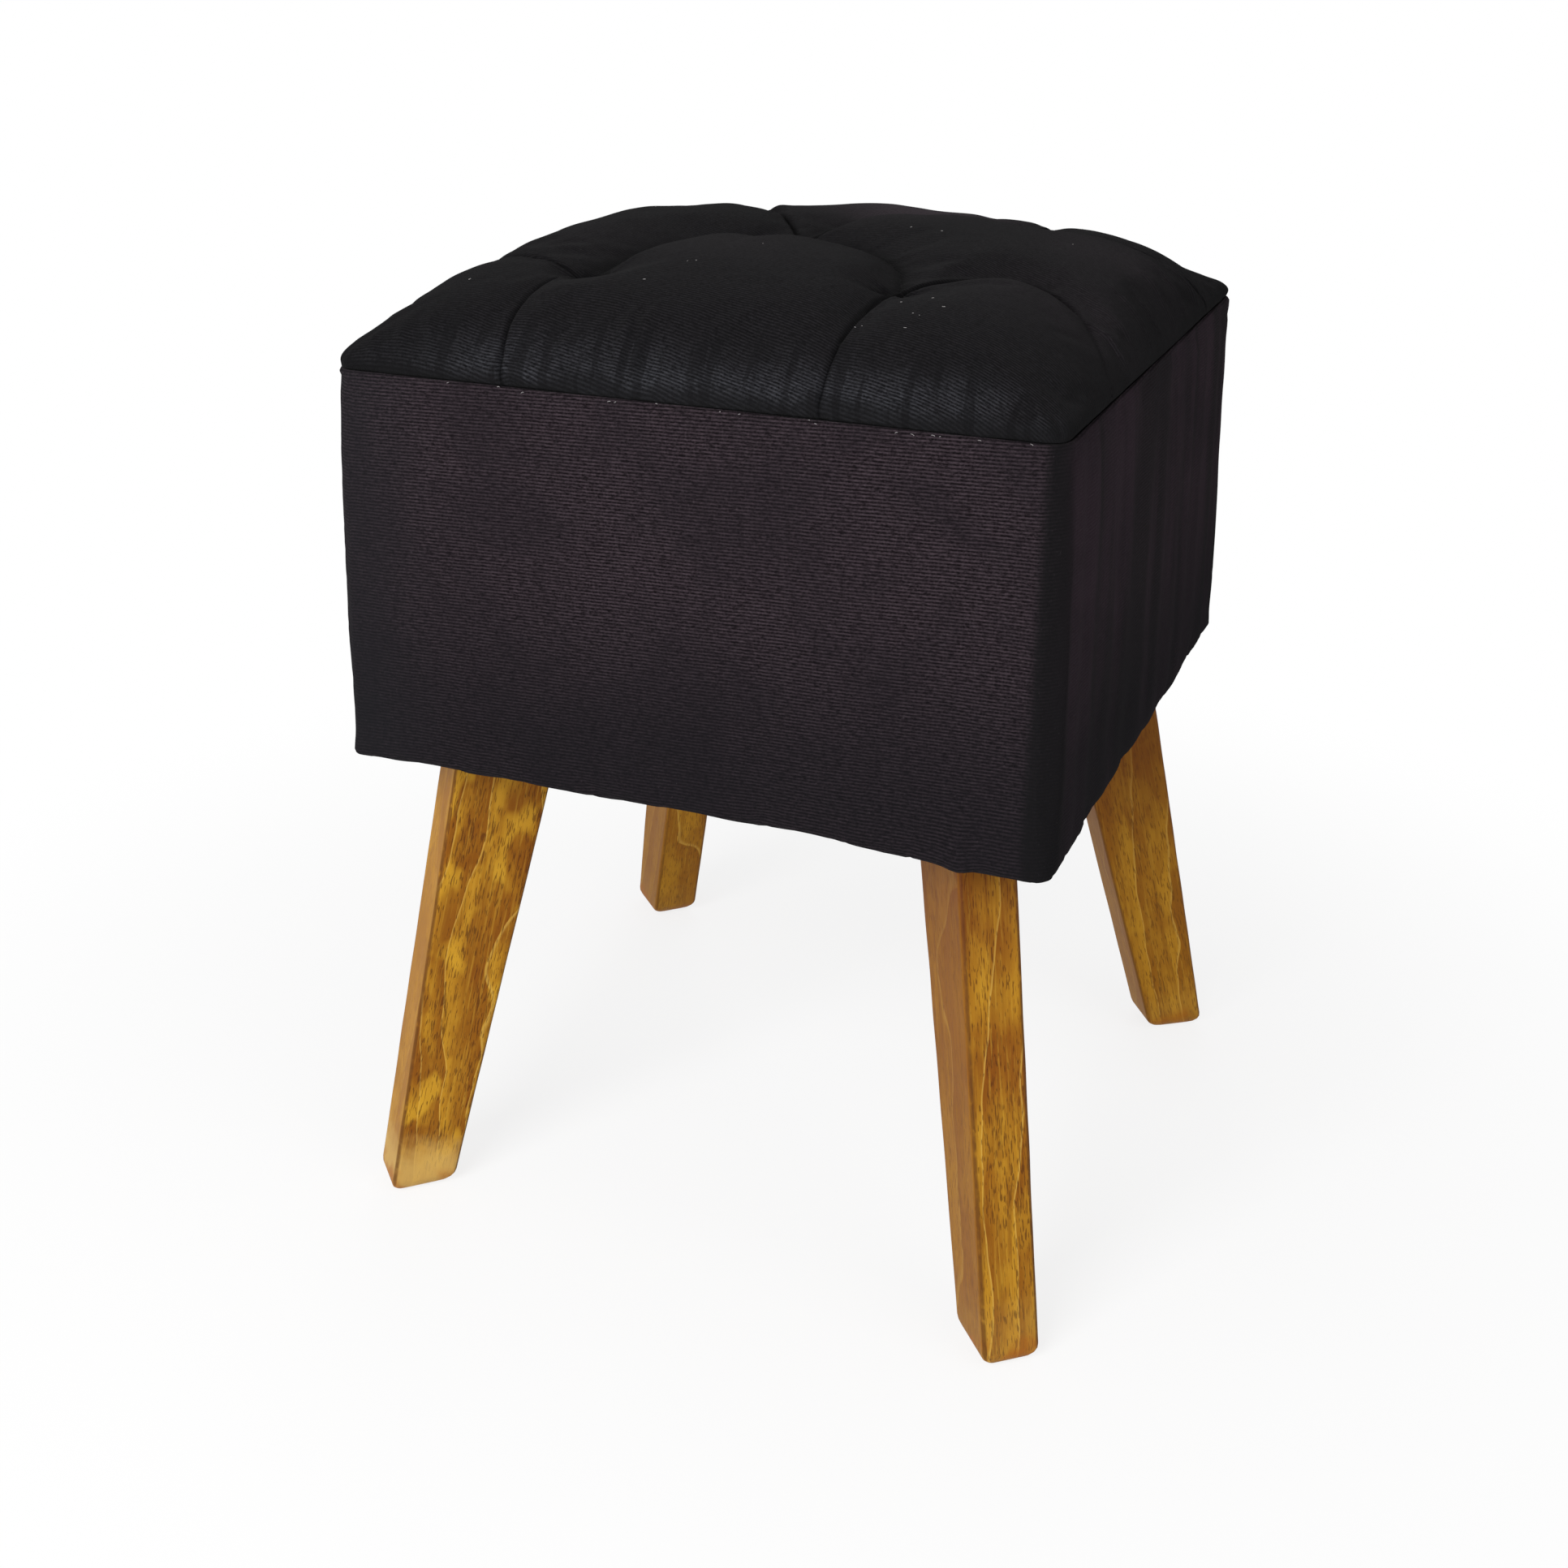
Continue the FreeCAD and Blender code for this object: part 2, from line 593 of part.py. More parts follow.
def wall_form(inside, bottom, top):
    """Solid inside the padded sides, drawn in by inside from the cover's outer face."""
    outer_bottom = size("base_height") - size("cover_thickness")
    hem = size("hem_radius") - inside
    low = outer_bottom + inside
    span = seam_height() - outer_bottom
    heights = [low + hem * (1 - math.cos(math.radians(angle))) for angle in HEM_ANGLES]
    heights += [low + hem + (seam_height() - low - hem) * share for share in WALL_ROW_SHARES]
    wires = []
    for height in heights:
        share = (height - outer_bottom) / span
        half = hem_half() + (seam_half() - hem_half()) * share
        half += size("side_swell") * 4 * share * (1 - share) - inside
        under = min(hem, max(0.0, low + hem - height))
        half -= hem - math.sqrt(hem * hem - under * under)
        bowing = size("side_bow") * (1 - share)
        corner = size("hem_corner_radius") + (size("corner_radius") - size("hem_corner_radius")) * share
        wires.append(wall_section(half, height, bowing, corner - inside))
    solid = Part.makeLoft(wires, True, True)
    slab = centred_block(hem_half() + size("corner_radius"), bottom, top)
    return solid.common(slab)


def centred_block(half, bottom, top):
    """Square block about the upright axis."""
    return Part.makeBox(2 * half, 2 * half, top - bottom, FreeCAD.Vector(-half, -half, bottom))


def crown_creases(along):
    """Places across the box of the left and right fold, and how near they are to a tuft."""
    left, right = -size("tuft_left"), size("tuft_right")
    middle, half = size("tuft_middle_x"), size("tuft_half")
    front, rear, centre = -size("tuft_front"), size("tuft_rear"), size("tuft_middle_y")
    if along <= front or along >= rear:
        row, edge = (front, -seam_half()) if along <= front else (rear, seam_half())
        return left, right, 1 - abs((along - row) / (edge - row))
    row, core = (front, centre - half) if along < centre else (rear, centre + half)
    share = min(1.0, max(0.0, (along - row) / (core - row)))
    near = abs(2 * share - 1) ** 2
    return left + (middle - half - left) * share, right + (middle + half - right) * share, near


def dome(across, along, half, width, height):
    """Height of the untufted dome above the seam."""
    power = size("dome_power")
    rise = (1 - min(1.0, abs(across / width)) ** power) * (1 - min(1.0, abs(along / half)) ** power)
    return size("crown_rim") + (height - size("crown_rim")) * math.sqrt(max(0.0, rise))


def crown_section(along, inside, bottom, half):
    """Upright section of the crown at one place from front to back."""
    height = size("crown_height") - inside
    corner = size("corner_radius") - inside
    beyond = max(0.0, abs(along) - (half - corner))
    width = half - corner + math.sqrt(max(0.0, corner * corner - beyond * beyond))
    left, right, near = crown_creases(along)
    on_row = min(abs(along + size("tuft_front")), abs(along - size("tuft_rear"))) < NEARLY_ZERO
    fade = min(1.0, (dome(0, along, half, width, height) / height) ** 2)
    depth = (size("fold_depth") + (size("tuft_depth") - size("fold_depth")) * near) * fade
    if abs(along) > max(size("tuft_front"), size("tuft_rear")):
        depth *= EDGE_FOLD_FADE_SHARE + (1 - EDGE_FOLD_FADE_SHARE) * near

    def point(across, lower=0.0):
        level = seam_height() + dome(across, along, half, width, height) - lower
        return FreeCAD.Vector(across, along, level)

    row_puff = size("tuft_depth") * ROW_FOLD_PUFF_SHARE if on_row else 0.0
    row_shoulder = size("tuft_depth") * ROW_FOLD_SHOULDER_SHARE if on_row else 0.0
    shoulder = width - size("shoulder")
    edge = width - size("shoulder") * EDGE_BOW_SHARE
    full = size("tuft_left") + size("tuft_right")
    low_left, low_right = point(left, depth), point(right, depth)
    top = point((left + right) / 2)
    chord = (low_left.z + low_right.z) / 2
    top.z = chord + (top.z - chord) * math.sqrt((right - left) / full)
    rim = seam_height() + size("crown_rim")
    start, end = FreeCAD.Vector(-width, along, rim), FreeCAD.Vector(width, along, rim)
    edges = [
        line(FreeCAD.Vector(-width, along, bottom), start),
        bow(start, point(-edge), point(-shoulder, row_shoulder)),
        bow(point(-shoulder, row_shoulder), point((left - shoulder) / 2, row_puff), low_left),
        bow(low_left, top, low_right),
        bow(low_right, point((right + shoulder) / 2, row_puff), point(shoulder, row_shoulder)),
        bow(point(shoulder, row_shoulder), point(edge), end),
        line(end, FreeCAD.Vector(width, along, bottom)),
        line(FreeCAD.Vector(width, along, bottom), FreeCAD.Vector(-width, along, bottom)),
    ]
    return Part.Wire(edges)


def crown_form(inside, bottom):
    """Tufted crown drawn in by inside from the cover's outer face, down to the height bottom."""
    half = seam_half() - inside
    front, rear, centre = -size("tuft_front"), size("tuft_rear"), size("tuft_middle_y")
    core = size("tuft_half")
    zones = (
        [-half + (front + half) * share for share in EDGE_ROW_SHARES],
        [front + (centre - core - front) * share for share in INNER_ROW_SHARES],
        [centre - core, centre + core],
        [centre + core + (rear - centre - core) * share for share in INNER_ROW_SHARES],
        [half + (rear - half) * share for share in reversed(EDGE_ROW_SHARES)],
    )
    pieces = []
    for rows in zones:
        wires = [crown_section(along, inside, bottom, half) for along in rows]
        pieces.append(Part.makeLoft(wires, True, False, False, LOFT_DEGREE))
    solid = pieces[0].multiFuse(pieces[1:])
    return solid.removeSplitter()


def add_shape(label, shape, turn=0.0):
    """Sub-part whose shape Part's own functions made."""
    feature = DOCUMENT.addObject("Part::Feature", label)
    feature.Label = label
    feature.Shape = shape
    feature.Placement = FreeCAD.Placement(FreeCAD.Vector(), FreeCAD.Rotation(UP, turn))
    SUB_PARTS.append(feature)
    return feature


def make_side_cover():
    """Sewn band round the box, turned under the base board."""
    bottom = size("base_height") - size("cover_thickness")
    top = seam_height()
    outer = wall_form(0.0, bottom, top)
    inner = wall_form(size("cover_thickness"), size("base_height"), top)
    mouth = centred_block(size("frame_half") - size("flange_lap"), bottom, size("base_height"))
    add_shape("side_cover", outer.cut(inner.fuse(mouth)))


def make_pads():
    """Foam sheet on each side panel, with the corner at its right end."""
    inside = size("cover_thickness") + size("soft_gap")
    form = wall_form(inside, size("base_height") + size("soft_gap"), frame_top())
    reach = hem_half() + size("corner_radius")
    frame = size("frame_half")
    for number, label in enumerate(("front_pad", "right_pad", "rear_pad", "left_pad")):
        strip = Part.makeBox(frame + reach, reach - frame, frame_top() - size("base_height"),
                             FreeCAD.Vector(-frame, -reach, size("base_height")))
        add_shape(label, form.common(strip), QUARTER_TURN * number)


def tuft_places():
    """Places of the five tufts."""
    left, right = -size("tuft_left"), size("tuft_right")
    front, rear = -size("tuft_front"), size("tuft_rear")
    middle = (size("tuft_middle_x"), size("tuft_middle_y"))
    return [(left, front), (right, front), middle, (left, rear), (right, rear)]


def make_crown():
    """Crown cover over its foam, both drawn down at the tufts, and the twines that hold them."""
    cloth = size("cover_thickness")
    outer = crown_form(0.0, seam_height())
    inner = crown_form(cloth, seam_height())
    add_shape("top_cover", outer.cut(inner))
    foam = crown_form(cloth + size("soft_gap"), frame_top())
    knot_height = frame_top() - size("board_thickness") - size("disc_thickness") - size("knot_radius")
    above = seam_height() + size("crown_height") - frame_top()
    holed = foam
    ties = []
    for across, along in tuft_places():
        level = FreeCAD.Vector(across, along, frame_top())
        foot = FreeCAD.Vector(across, along, knot_height)
        upper = Part.makeCylinder(size("twine_radius"), above, level).common(foam)
        lower = Part.makeCylinder(size("twine_radius"), frame_top() - knot_height, foot)
        knot = Part.makeSphere(size("knot_radius"), foot)
        ties.append(knot.multiFuse([lower, upper]).removeSplitter())
        holed = holed.cut(Part.makeCylinder(size("twine_radius") + size("soft_gap"), above, level))
    add_shape("seat_foam", holed)
    add_shape("tuft_twines", Part.makeCompound(ties))


def export_all():
    """Checks every object of the document and writes one file for each sub-part."""
    DOCUMENT.recompute()
    for item in DOCUMENT.Objects:
        if "Invalid" in item.State or "Error" in item.State:
            raise ValueError(item.Label + " is " + str(item.State))
    os.makedirs("parts", exist_ok=True)
    for item in SUB_PARTS:
        shape = item.Shape
        if shape.isNull() or not shape.isValid() or not shape.Solids:
            raise ValueError(item.Label + " has no valid shape")
        shape.exportStep(os.path.join("parts", item.Label + ".step"))
        box = shape.BoundBox
        print("%-18s solids %2d  faces %3d  volume %9.0f  z %.1f to %.1f"
              % (item.Label, len(shape.Solids), len(shape.Faces), shape.Volume, box.ZMin, box.ZMax))
    print(len(SUB_PARTS), "sub-parts")


BLOCKS = ("block_rear_right", "block_rear_left", "block_front_left", "block_front_right")
PANELS = ("front_panel", "right_panel", "rear_panel", "left_panel")

for leg_corner, leg_quarters in LEG_CORNERS:
    make_leg(leg_corner, leg_quarters)
for step, name in enumerate(BLOCKS):
    make_block(name, QUARTER_TURN * step)
for step, name in enumerate(PANELS):
    make_panel(name, QUARTER_TURN * step)
make_base_board()
make_seat_board()
make_coach_screws()
make_washers()
make_panel_screws()
make_board_screws("base_screws", cell("base_height"), "")
make_board_screws("seat_screws", FRAME_TOP, "-")
make_discs()
make_dust_cloth()
make_side_cover()
make_pads()
make_crown()
export_all()
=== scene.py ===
import math
from collections import Counter

import bmesh
import bpy
import numpy as np
from mathutils import Matrix, Vector


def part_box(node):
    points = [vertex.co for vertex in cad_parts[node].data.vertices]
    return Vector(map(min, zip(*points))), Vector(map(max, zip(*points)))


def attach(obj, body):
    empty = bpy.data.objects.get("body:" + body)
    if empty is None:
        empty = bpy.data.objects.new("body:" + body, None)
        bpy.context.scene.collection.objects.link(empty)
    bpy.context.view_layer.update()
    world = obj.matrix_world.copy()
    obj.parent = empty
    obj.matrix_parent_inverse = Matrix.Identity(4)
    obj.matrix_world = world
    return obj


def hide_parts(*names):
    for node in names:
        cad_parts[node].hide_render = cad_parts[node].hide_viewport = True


# Square tufted pouf on four pine legs: cloth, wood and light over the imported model. Metres, and millimetres
# in the tables that say so.

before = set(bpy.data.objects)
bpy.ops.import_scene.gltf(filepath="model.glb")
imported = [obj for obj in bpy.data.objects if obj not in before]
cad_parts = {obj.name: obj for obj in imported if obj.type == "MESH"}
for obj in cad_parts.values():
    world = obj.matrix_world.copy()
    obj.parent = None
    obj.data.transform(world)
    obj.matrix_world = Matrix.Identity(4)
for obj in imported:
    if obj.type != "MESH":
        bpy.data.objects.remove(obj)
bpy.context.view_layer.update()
ROOT = "root"
MM = 0.001

# Heights and half widths of the upholstery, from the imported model.
SEAM_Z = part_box("top_cover")[0].z
CROWN_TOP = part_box("top_cover")[1].z
SEAM_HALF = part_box("top_cover")[1].y
BAND_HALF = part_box("side_cover")[1].x
HEM_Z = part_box("side_cover")[0].z
BOARD_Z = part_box("base_board")[0].z
BOX_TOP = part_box("seat_board")[1].z
BOX_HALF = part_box("seat_board")[1].x
LEG_TOP_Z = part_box("leg_front_left")[1].z

# Crown: dome, tufts and the folds between them, in plan. Places are chosen from the photograph.
CROWN_CELLS = 88
CROWN_CROWDING = 1.35
DOME_POWER = 3.5
DOME_HEIGHT = CROWN_TOP - SEAM_Z
CORNER_RADIUS = 12 * MM
CORNER_DRAW = 0.72
MIDDLE = (-12 * MM, 4 * MM)
FRONT_LEFT = (-80 * MM, -93 * MM)
FRONT_RIGHT = (71 * MM, -90 * MM)
REAR_LEFT = (-81 * MM, 96 * MM)
REAR_RIGHT = (84 * MM, 94 * MM)
# Depth and width of each tuft's dip, in millimetres.
TUFTS = {
    MIDDLE: (18, 13), FRONT_LEFT: (18, 17), FRONT_RIGHT: (13, 12), REAR_LEFT: (18, 13), REAR_RIGHT: (16, 15),
}
TUFT_HOLD = 4 * MM
TUFT_CREASES = (5, 7, 9)
WRINKLE_SEED = 7

# Each fold: start, a point that it bends towards, end, depths at start, half way and end, its widths on the
# left and the right of its line, and the depths of its sharp pleat at start and end. All but the tufts in
# millimetres.
FOLDS = (
    (MIDDLE, (-86, -9), FRONT_LEFT, (13, 11, 13), (15, 22), (0.6, 0.5)),
    (MIDDLE, (59, -13), FRONT_RIGHT, (13, 9, 10), (20, 14), (0.4, 0.9)),
    (MIDDLE, (-40, 60), REAR_LEFT, (12, 4, 9), (10, 10), (1.6, 1.6)),
    (MIDDLE, (-8, 92), REAR_RIGHT, (11, 6.0, 8), (30, 6), (1.6, 2.4)),
    (FRONT_LEFT, (-99, -125), (-85, -175), (9, 4.5, 1.5), (10, 11), (2.8, 1.2)),
    (FRONT_LEFT, (-113, -92), (-175, -40), (9, 3.6, 1.0), (14, 8), (2.6, 1.6)),
    (FRONT_RIGHT, (68, -130), (67, -175), (8, 4.5, 1.5), (10, 11), (2.4, 1.2)),
    (FRONT_RIGHT, (118, 18), (176, -108), (9, 7.0, 2.5), (14, 10), (2.6, 0.0)),
    (REAR_LEFT, (-122, 90), (-175, 100), (9, 4.5, 1.5), (10, 11), (2.0, 0.9)),
    (REAR_LEFT, (-90, 128), (-84, 175), (9, 4.5, 1.5), (10, 11), (2.2, 0.9)),
    (REAR_RIGHT, (118, 90), (175, 99), (9, 4.5, 1.5), (10, 11), (1.9, 0.9)),
    (REAR_RIGHT, (84, 128), (77, 175), (9, 4.5, 1.5), (10, 11), (2.0, 0.9)),
)
FOLD_STEPS = 14
FOLD_HOLD = 2.6 * MM
FOLD_GATHER = 0.55 * MM
DEEPEST_FOLD = 13

# The sharp pleat in a fold, on the left and the right of its line: share of its width, and height of the
# cloth's lip beside it as a share of its depth. Then the lip's place and width, and the deepest pleat.
PLEAT_WIDTH = 1.0 * MM
PLEAT_SIDES = (0.8, 1.25)
PLEAT_LIPS = (0.45, 0.15)
LIP_PLACE = 2.6 * MM
LIP_WIDTH = 1.8 * MM
DEEP_PLEAT = 1.6

# Where the filling is fuller or thinner than the even dome: place in plan, reach and rise, in millimetres.
CROWN_SWELLS = (
    (-145, -40, 50, 2.4), (-125, 30, 40, 1.6), (-168, -130, 30, -3.0), (-95, 72, 32, -2.2),
    (-50, 118, 36, -4.6), (-15, 110, 22, 2.0), (58, 124, 24, -1.0), (92, 114, 12, -2.4), (98, 88, 14, -4.6),
    (168, 150, 34, -13.0), (-58, 84, 6, 3.8), (-36, 84, 14, -1.6),
)
# Where the pile is paler: partly where a hand has brushed it up, and on the grazing rear slope a painted
# sheen: place in plan, reach in millimetres, share.
PALE_PILE_AND_SHEEN = (
    (18, 108, 44, 1.0), (-118, -30, 40, 0.08), (-20, -60, 36, 0.10), (140, 40, 40, 0.25),
    (150, -60, 44, 0.20),
)
# Unevenness of the filling: length and height of its waves in millimetres, and their seed.
CROWN_WAVES = ((60, 0.45, 3), (17, 0.12, 4))
# The crown's bulge over the seam and its tuck into it: swell, height over the seam, reach, in millimetres.
SEAM_SHAPE = ((1.1, 6, 4.5), (-1.7, 0, 1.8))
# The crown's rim below the seam: how far it is drawn in and how far it drops, in millimetres.
RIM_ROWS = ((1.8, 0.8), (3, 3))
# Stretch wrinkles on the four flanks: the axis along the seam, the outward axis and its sign, and for each
# wrinkle its place, lean, width, height and swell, in millimetres but for the lean.
FLANK_WRINKLES = (
    ((0, 1, -1), (
        (-152, -0.30, 3.0, 20, 0.45), (-137, -0.35, 3.5, 26, 0.6), (-122, -0.45, 3.5, 30, 0.7),
        (-106, -0.35, 3.0, 26, 0.6), (-74, 0.15, 4.0, 24, 0.5), (-58, 0.05, 3.0, 18, 0.35),
        (-30, 0.02, 3.2, 34, 0.9), (-21, 0.00, 3.0, 36, 1.0), (-6, -0.05, 3.0, 22, 0.6),
        (8, 0.05, 3.6, 26, 0.8), (20, 0.00, 3.0, 22, 0.6), (34, 0.05, 4.2, 26, 0.9), (47, 0.10, 3.2, 26, 0.8),
        (86, -0.10, 5.0, 20, 0.5), (110, -0.15, 5.0, 26, 0.7), (133, -0.25, 4.0, 20, 0.5),
    )),
    ((1, 0, 1), (
        (-128, 0.10, 5.0, 22, 0.4), (-70, 0.30, 3.0, 34, 0.8), (-48, 0.35, 4.0, 30, 0.6),
        (-22, 0.35, 3.5, 36, 0.8), (4, 0.35, 4.0, 30, 0.6), (30, 0.35, 3.5, 36, 0.8),
        (58, 0.35, 4.0, 34, 0.7), (84, 0.30, 3.5, 30, 0.8), (122, 0.30, 4.0, 26, 0.7),
        (145, 0.30, 4.0, 20, 0.5),
    )),
    ((0, 1, 1), (
        (-140, 0.2, 4.0, 24, 0.5), (-112, 0.1, 3.4, 26, 0.6), (-60, 0.1, 4.0, 24, 0.5),
        (-34, 0.0, 3.4, 30, 0.7), (-8, 0.0, 3.2, 26, 0.7), (16, 0.0, 3.6, 30, 0.8), (44, -0.1, 3.4, 24, 0.6),
        (104, -0.2, 4.0, 24, 0.6), (136, -0.2, 4.0, 22, 0.5),
    )),
    ((1, 0, -1), (
        (-138, -0.2, 4.0, 22, 0.5), (-116, -0.2, 3.6, 26, 0.6), (-62, 0.0, 3.6, 26, 0.6),
        (-34, 0.1, 3.4, 30, 0.7), (-4, 0.0, 3.6, 26, 0.7), (26, -0.1, 3.4, 30, 0.7),
        (58, -0.1, 4.0, 24, 0.5), (124, 0.2, 4.0, 24, 0.6),
    )),
)
WRINKLE_SWELL = 2.2

# Side band. Its lip at the seam: distance outside the seam's line and height over it, in millimetres.
SEAM_LIP = ((-3.0, -4), (-2.4, -1.4), (-1.2, -0.5), (-0.3, -1.1), (0.2, -2.6))
BAND_STEP = 3.4 * MM
BAND_BOW = 1.2 * MM
SIDE_CELLS = 100
CORNER_CELLS = 8
HEM_TURN = 3 * MM
HEM_CORNER_RADIUS = 7 * MM
FLANGE_HALF = BOX_HALF - 9 * MM
BOX_GAP = 0.2 * MM
BAND_BACK = 3.2 * MM
BAND_SPREAD = 1.0 * MM
BAND_WAVES = ((95, 0.7, 11), (38, 0.25, 12))
# Standing folds of the right side: height, pitch, and how far they wander, with its length and seed.
STANDING = (0.5 * MM, 31 * MM, 2.0, 120 * MM, 13)
# Where the padding of a corner is drawn in: place and reach in plan and depth, then height and reach upwards.
CORNER_TUCKS = (
    ((180, 180, 45, 2.5), 360, 70), ((-180, -180, 45, 1.6), 285, 45), ((180, -180, 45, 0.6), 300, 60),
)
# Sag of the hem in millimetres: in the mean, and its waves with their length and seed.
HEM_SAG = 0.9
HEM_WAVES = (0.6, 70 * MM, 14)
HEM_REACH = 34 * MM
# Where the cloth is bunched under the hem: place in plan, reach and drop in millimetres.
HEM_DROOPS = (
    (150, -178, 42, 3.4), (178, -140, 40, 2.6), (90, -180, 24, 1.0), (-60, -180, 20, 0.9),
    (-178, -178, 22, 0.6), (-40, 180, 30, 1.2), (180, 70, 26, 1.0), (-180, 60, 34, 1.2), (120, 180, 30, 1.5),
    (138, -181, 7, 3.0),
)

# Suede as a simulated cloth.
CLOTH = {
    "quality": 6, "mass": 0.25, "tension_stiffness": 12, "compression_stiffness": 12, "shear_stiffness": 4,
    "bending_stiffness": 0.4, "air_damping": 2, "use_pressure": True, "vertex_group_mass": "hold",
    "pin_stiffness": 1,
}

# Legs, from the imported model: their section, how far out their top's middle is, and the side turned to the
# front left, whose faces take painted light.
LEG_HALF = 15 * MM
LEG_FOOT_HALF = 17.5 * MM
LEG_TOP_HALF = 27.5 * MM
LEG_TOP_REACH = 174.05 * MM
LEG_WIDENING = (LEG_TOP_HALF - LEG_FOOT_HALF) / LEG_TOP_Z
LEG_FLATS = (0.0, 0.04, 0.3, 0.7, 0.96)
LEG_CORNER_CELLS = 5
LEG_ROWS = 60
LEG_ARRIS = 2.5 * MM
LEG_WEAR = 0.12 * MM
FOOT_ROUND = 9 * MM
PAINTED_LIGHT_SIDE = (-0.7071, -0.7071)
# Each leg: its corner and how it is turned from it in degrees, its splay, the place of the pith beside
# it, the pitch of its rings, how pale its foot is, how dark the painted shadow under the box is at its top,
# a redder mark (its height and reach in millimetres, and its share), and its seed.
LEG_LOOKS = {
    "leg_front_left": (-135, -1.2, 64 * MM, (0.075, 0.040), 15 * MM, 0.80, 0.0, (165, 22, 0.3), 1.7),
    "leg_front_right": (-45, -5.1, 74 * MM, (0.020, 0.080), 15 * MM, 0.12, 0.18, (150, 45, 0.75), 4.2),
    "leg_rear_right": (45, -10, 69.5 * MM, (0.085, -0.040), 14 * MM, 0.10, 0.50, (195, 30, 0.4), 7.9),
    "leg_rear_left": (135, -0.5, 80 * MM, (-0.080, 0.040), 14 * MM, 0.10, 0.34, (150, 40, 0.3), 12.4),
}

# Lint on the crown in plan, and thread ends along the front seam, in millimetres.
LINT = (
    (-27, -101), (-23, -100), (-37, -126), (70, -142), (73, -140), (92, -130), (96, -131), (102, -118),
    (93, -106), (82, -116), (93, -143), (59, 12), (-5, -62), (-60, -30), (40, 20), (120, 30), (-110, 40),
    (-20, 120), (100, 130), (-130, -120),
)
THREADS = (-112, -86, -74, -31, -28, -8, 22, 31, 63, 66, 102, 109, 118, 121, 138, 160)
LINT_SEED = 5

# Staples of the dust cloth, in millimetres: how many on a side, their pitch and inset, their wire in side
# view (run and drop) and in section (across and rise).
STAPLES = 6
STAPLE_PITCH = 30
STAPLE_INSET = 7
STAPLE_WIRE = ((-5.2, -0.3), (-4.9, 0.45), (4.9, 0.45), (5.2, -0.3))
STAPLE_SECTION = ((-0.5, 0.0), (0.5, 0.0), (0.35, 0.45), (-0.35, 0.45))


def smooth(low, high, value):
    """Smooth step from 0 at low to 1 at high, for numbers and arrays."""
    t = np.clip((value - low) / (high - low), 0.0, 1.0)
    return t * t * (3 - 2 * t)


def bell(distance, width, power=2):
    """Bell that falls from 1 at no distance."""
    return np.exp(-(distance / width) ** power)


def spots(plan, rows):
    """Sum of round bells, each with its place in plan and its reach in millimetres, and its height."""
    return sum(height * bell(away_from(plan, (x * MM, y * MM)), reach * MM) for x, y, reach, height in rows)


def away_from(plan, place):
    """Distance of each plan point from a place."""
    return np.hypot(*(plan - np.array(place)).T)


def value_noise(points, scale, seed):
    """Smooth seeded noise from about -1 to 1 at each point, as a sum of turned waves."""
    source = np.random.RandomState(seed)
    total = np.zeros(len(points))
    for octave in range(5):
        direction = source.normal(size=points.shape[1])
        direction *= 2 * math.pi / (scale * np.linalg.norm(direction) * (1 + 0.45 * octave))
        other = source.normal(size=points.shape[1])
        other *= 2 * math.pi / (scale * np.linalg.norm(other) * (1.3 - 0.1 * octave))
        wave = np.sin(points @ direction + source.uniform(0, 6.28))
        total += wave * np.sin(points @ other + source.uniform(0, 6.28))
    return total / 2.2


def uneven(points, waves):
    """Sum of noises, each with its length and height in millimetres and its seed."""
    return sum(value_noise(points, length * MM, seed) * height * MM for length, height, seed in waves)


def fold_path(start, bend, end):
    """Points of one fold's line in plan: a curve that leans towards the bend."""
    t = np.linspace(0, 1, FOLD_STEPS)[:, None]
    last = np.array(end) if end in TUFTS else np.array(end) * MM
    return (1 - t) ** 2 * np.array(start) + 2 * t * (1 - t) * np.array(bend) * MM + t ** 2 * last


def stretches(path):
    """Each straight stretch of a line: its number, its start and the way to its end."""
    for index in range(len(path) - 1):
        yield index, path[index], path[index + 1] - path[index]


def near_fold(plan, path):
    """Distance of each plan point to a fold's line, its side, and the share along the line."""
    best = np.full(len(plan), 1e9)
    side = np.zeros(len(plan))
    share = np.zeros(len(plan))
    for index, a, ab in stretches(path):
        t = np.clip(((plan - a) @ ab) / (ab @ ab), 0, 1)
        away = plan - a - t[:, None] * ab
        distance = np.hypot(away[:, 0], away[:, 1])
        closer = distance < best
        best = np.where(closer, distance, best)
        side = np.where(closer, np.sign(ab[0] * away[:, 1] - ab[1] * away[:, 0]), side)
        share = np.where(closer, (index + t) / (len(path) - 1), share)
    return best, side, share


def each_fold(plan):
    """For each fold: where the plan points lie beside it, then its depths, widths and sharp pleat."""
    for start, bend, end, depths, widths, sharp in FOLDS:
        yield *near_fold(plan, fold_path(start, bend, end)), depths, widths, sharp


def along_pleat(sharp, share):
    """Depth of a sharp pleat at a share of its fold's length, in millimetres."""
    return sharp[0] + (sharp[1] - sharp[0]) * share


def dome(plan):
    """Height of the smooth crown above the seam."""
    inner = np.clip(1 - np.abs(plan / SEAM_HALF) ** DOME_POWER, 0, 1)
    return DOME_HEIGHT * np.sqrt(inner[:, 0] * inner[:, 1])


def tufted(plan):
    """Height of the tufted crown above the seam, before the cloth is relaxed."""
    high = dome(plan)
    low = np.zeros(len(plan))
    high = high + spots(plan, CROWN_SWELLS) * MM * smooth(0, 0.7 * DOME_HEIGHT, high)
    for distance, side, share, depths, widths, _ in each_fold(plan):
        wide = np.where(side > 0, *widths) * MM
        depth = np.interp(share, (0, 0.5, 1), depths) * MM
        low = np.maximum(low, depth * bell(distance, wide, 1.3))
    for place, (depth, wide) in TUFTS.items():
        low = np.maximum(low, depth * MM * bell(away_from(plan, place), wide * MM, 1.2))
    return high - low * np.minimum(1, high / (0.55 * DOME_HEIGHT))


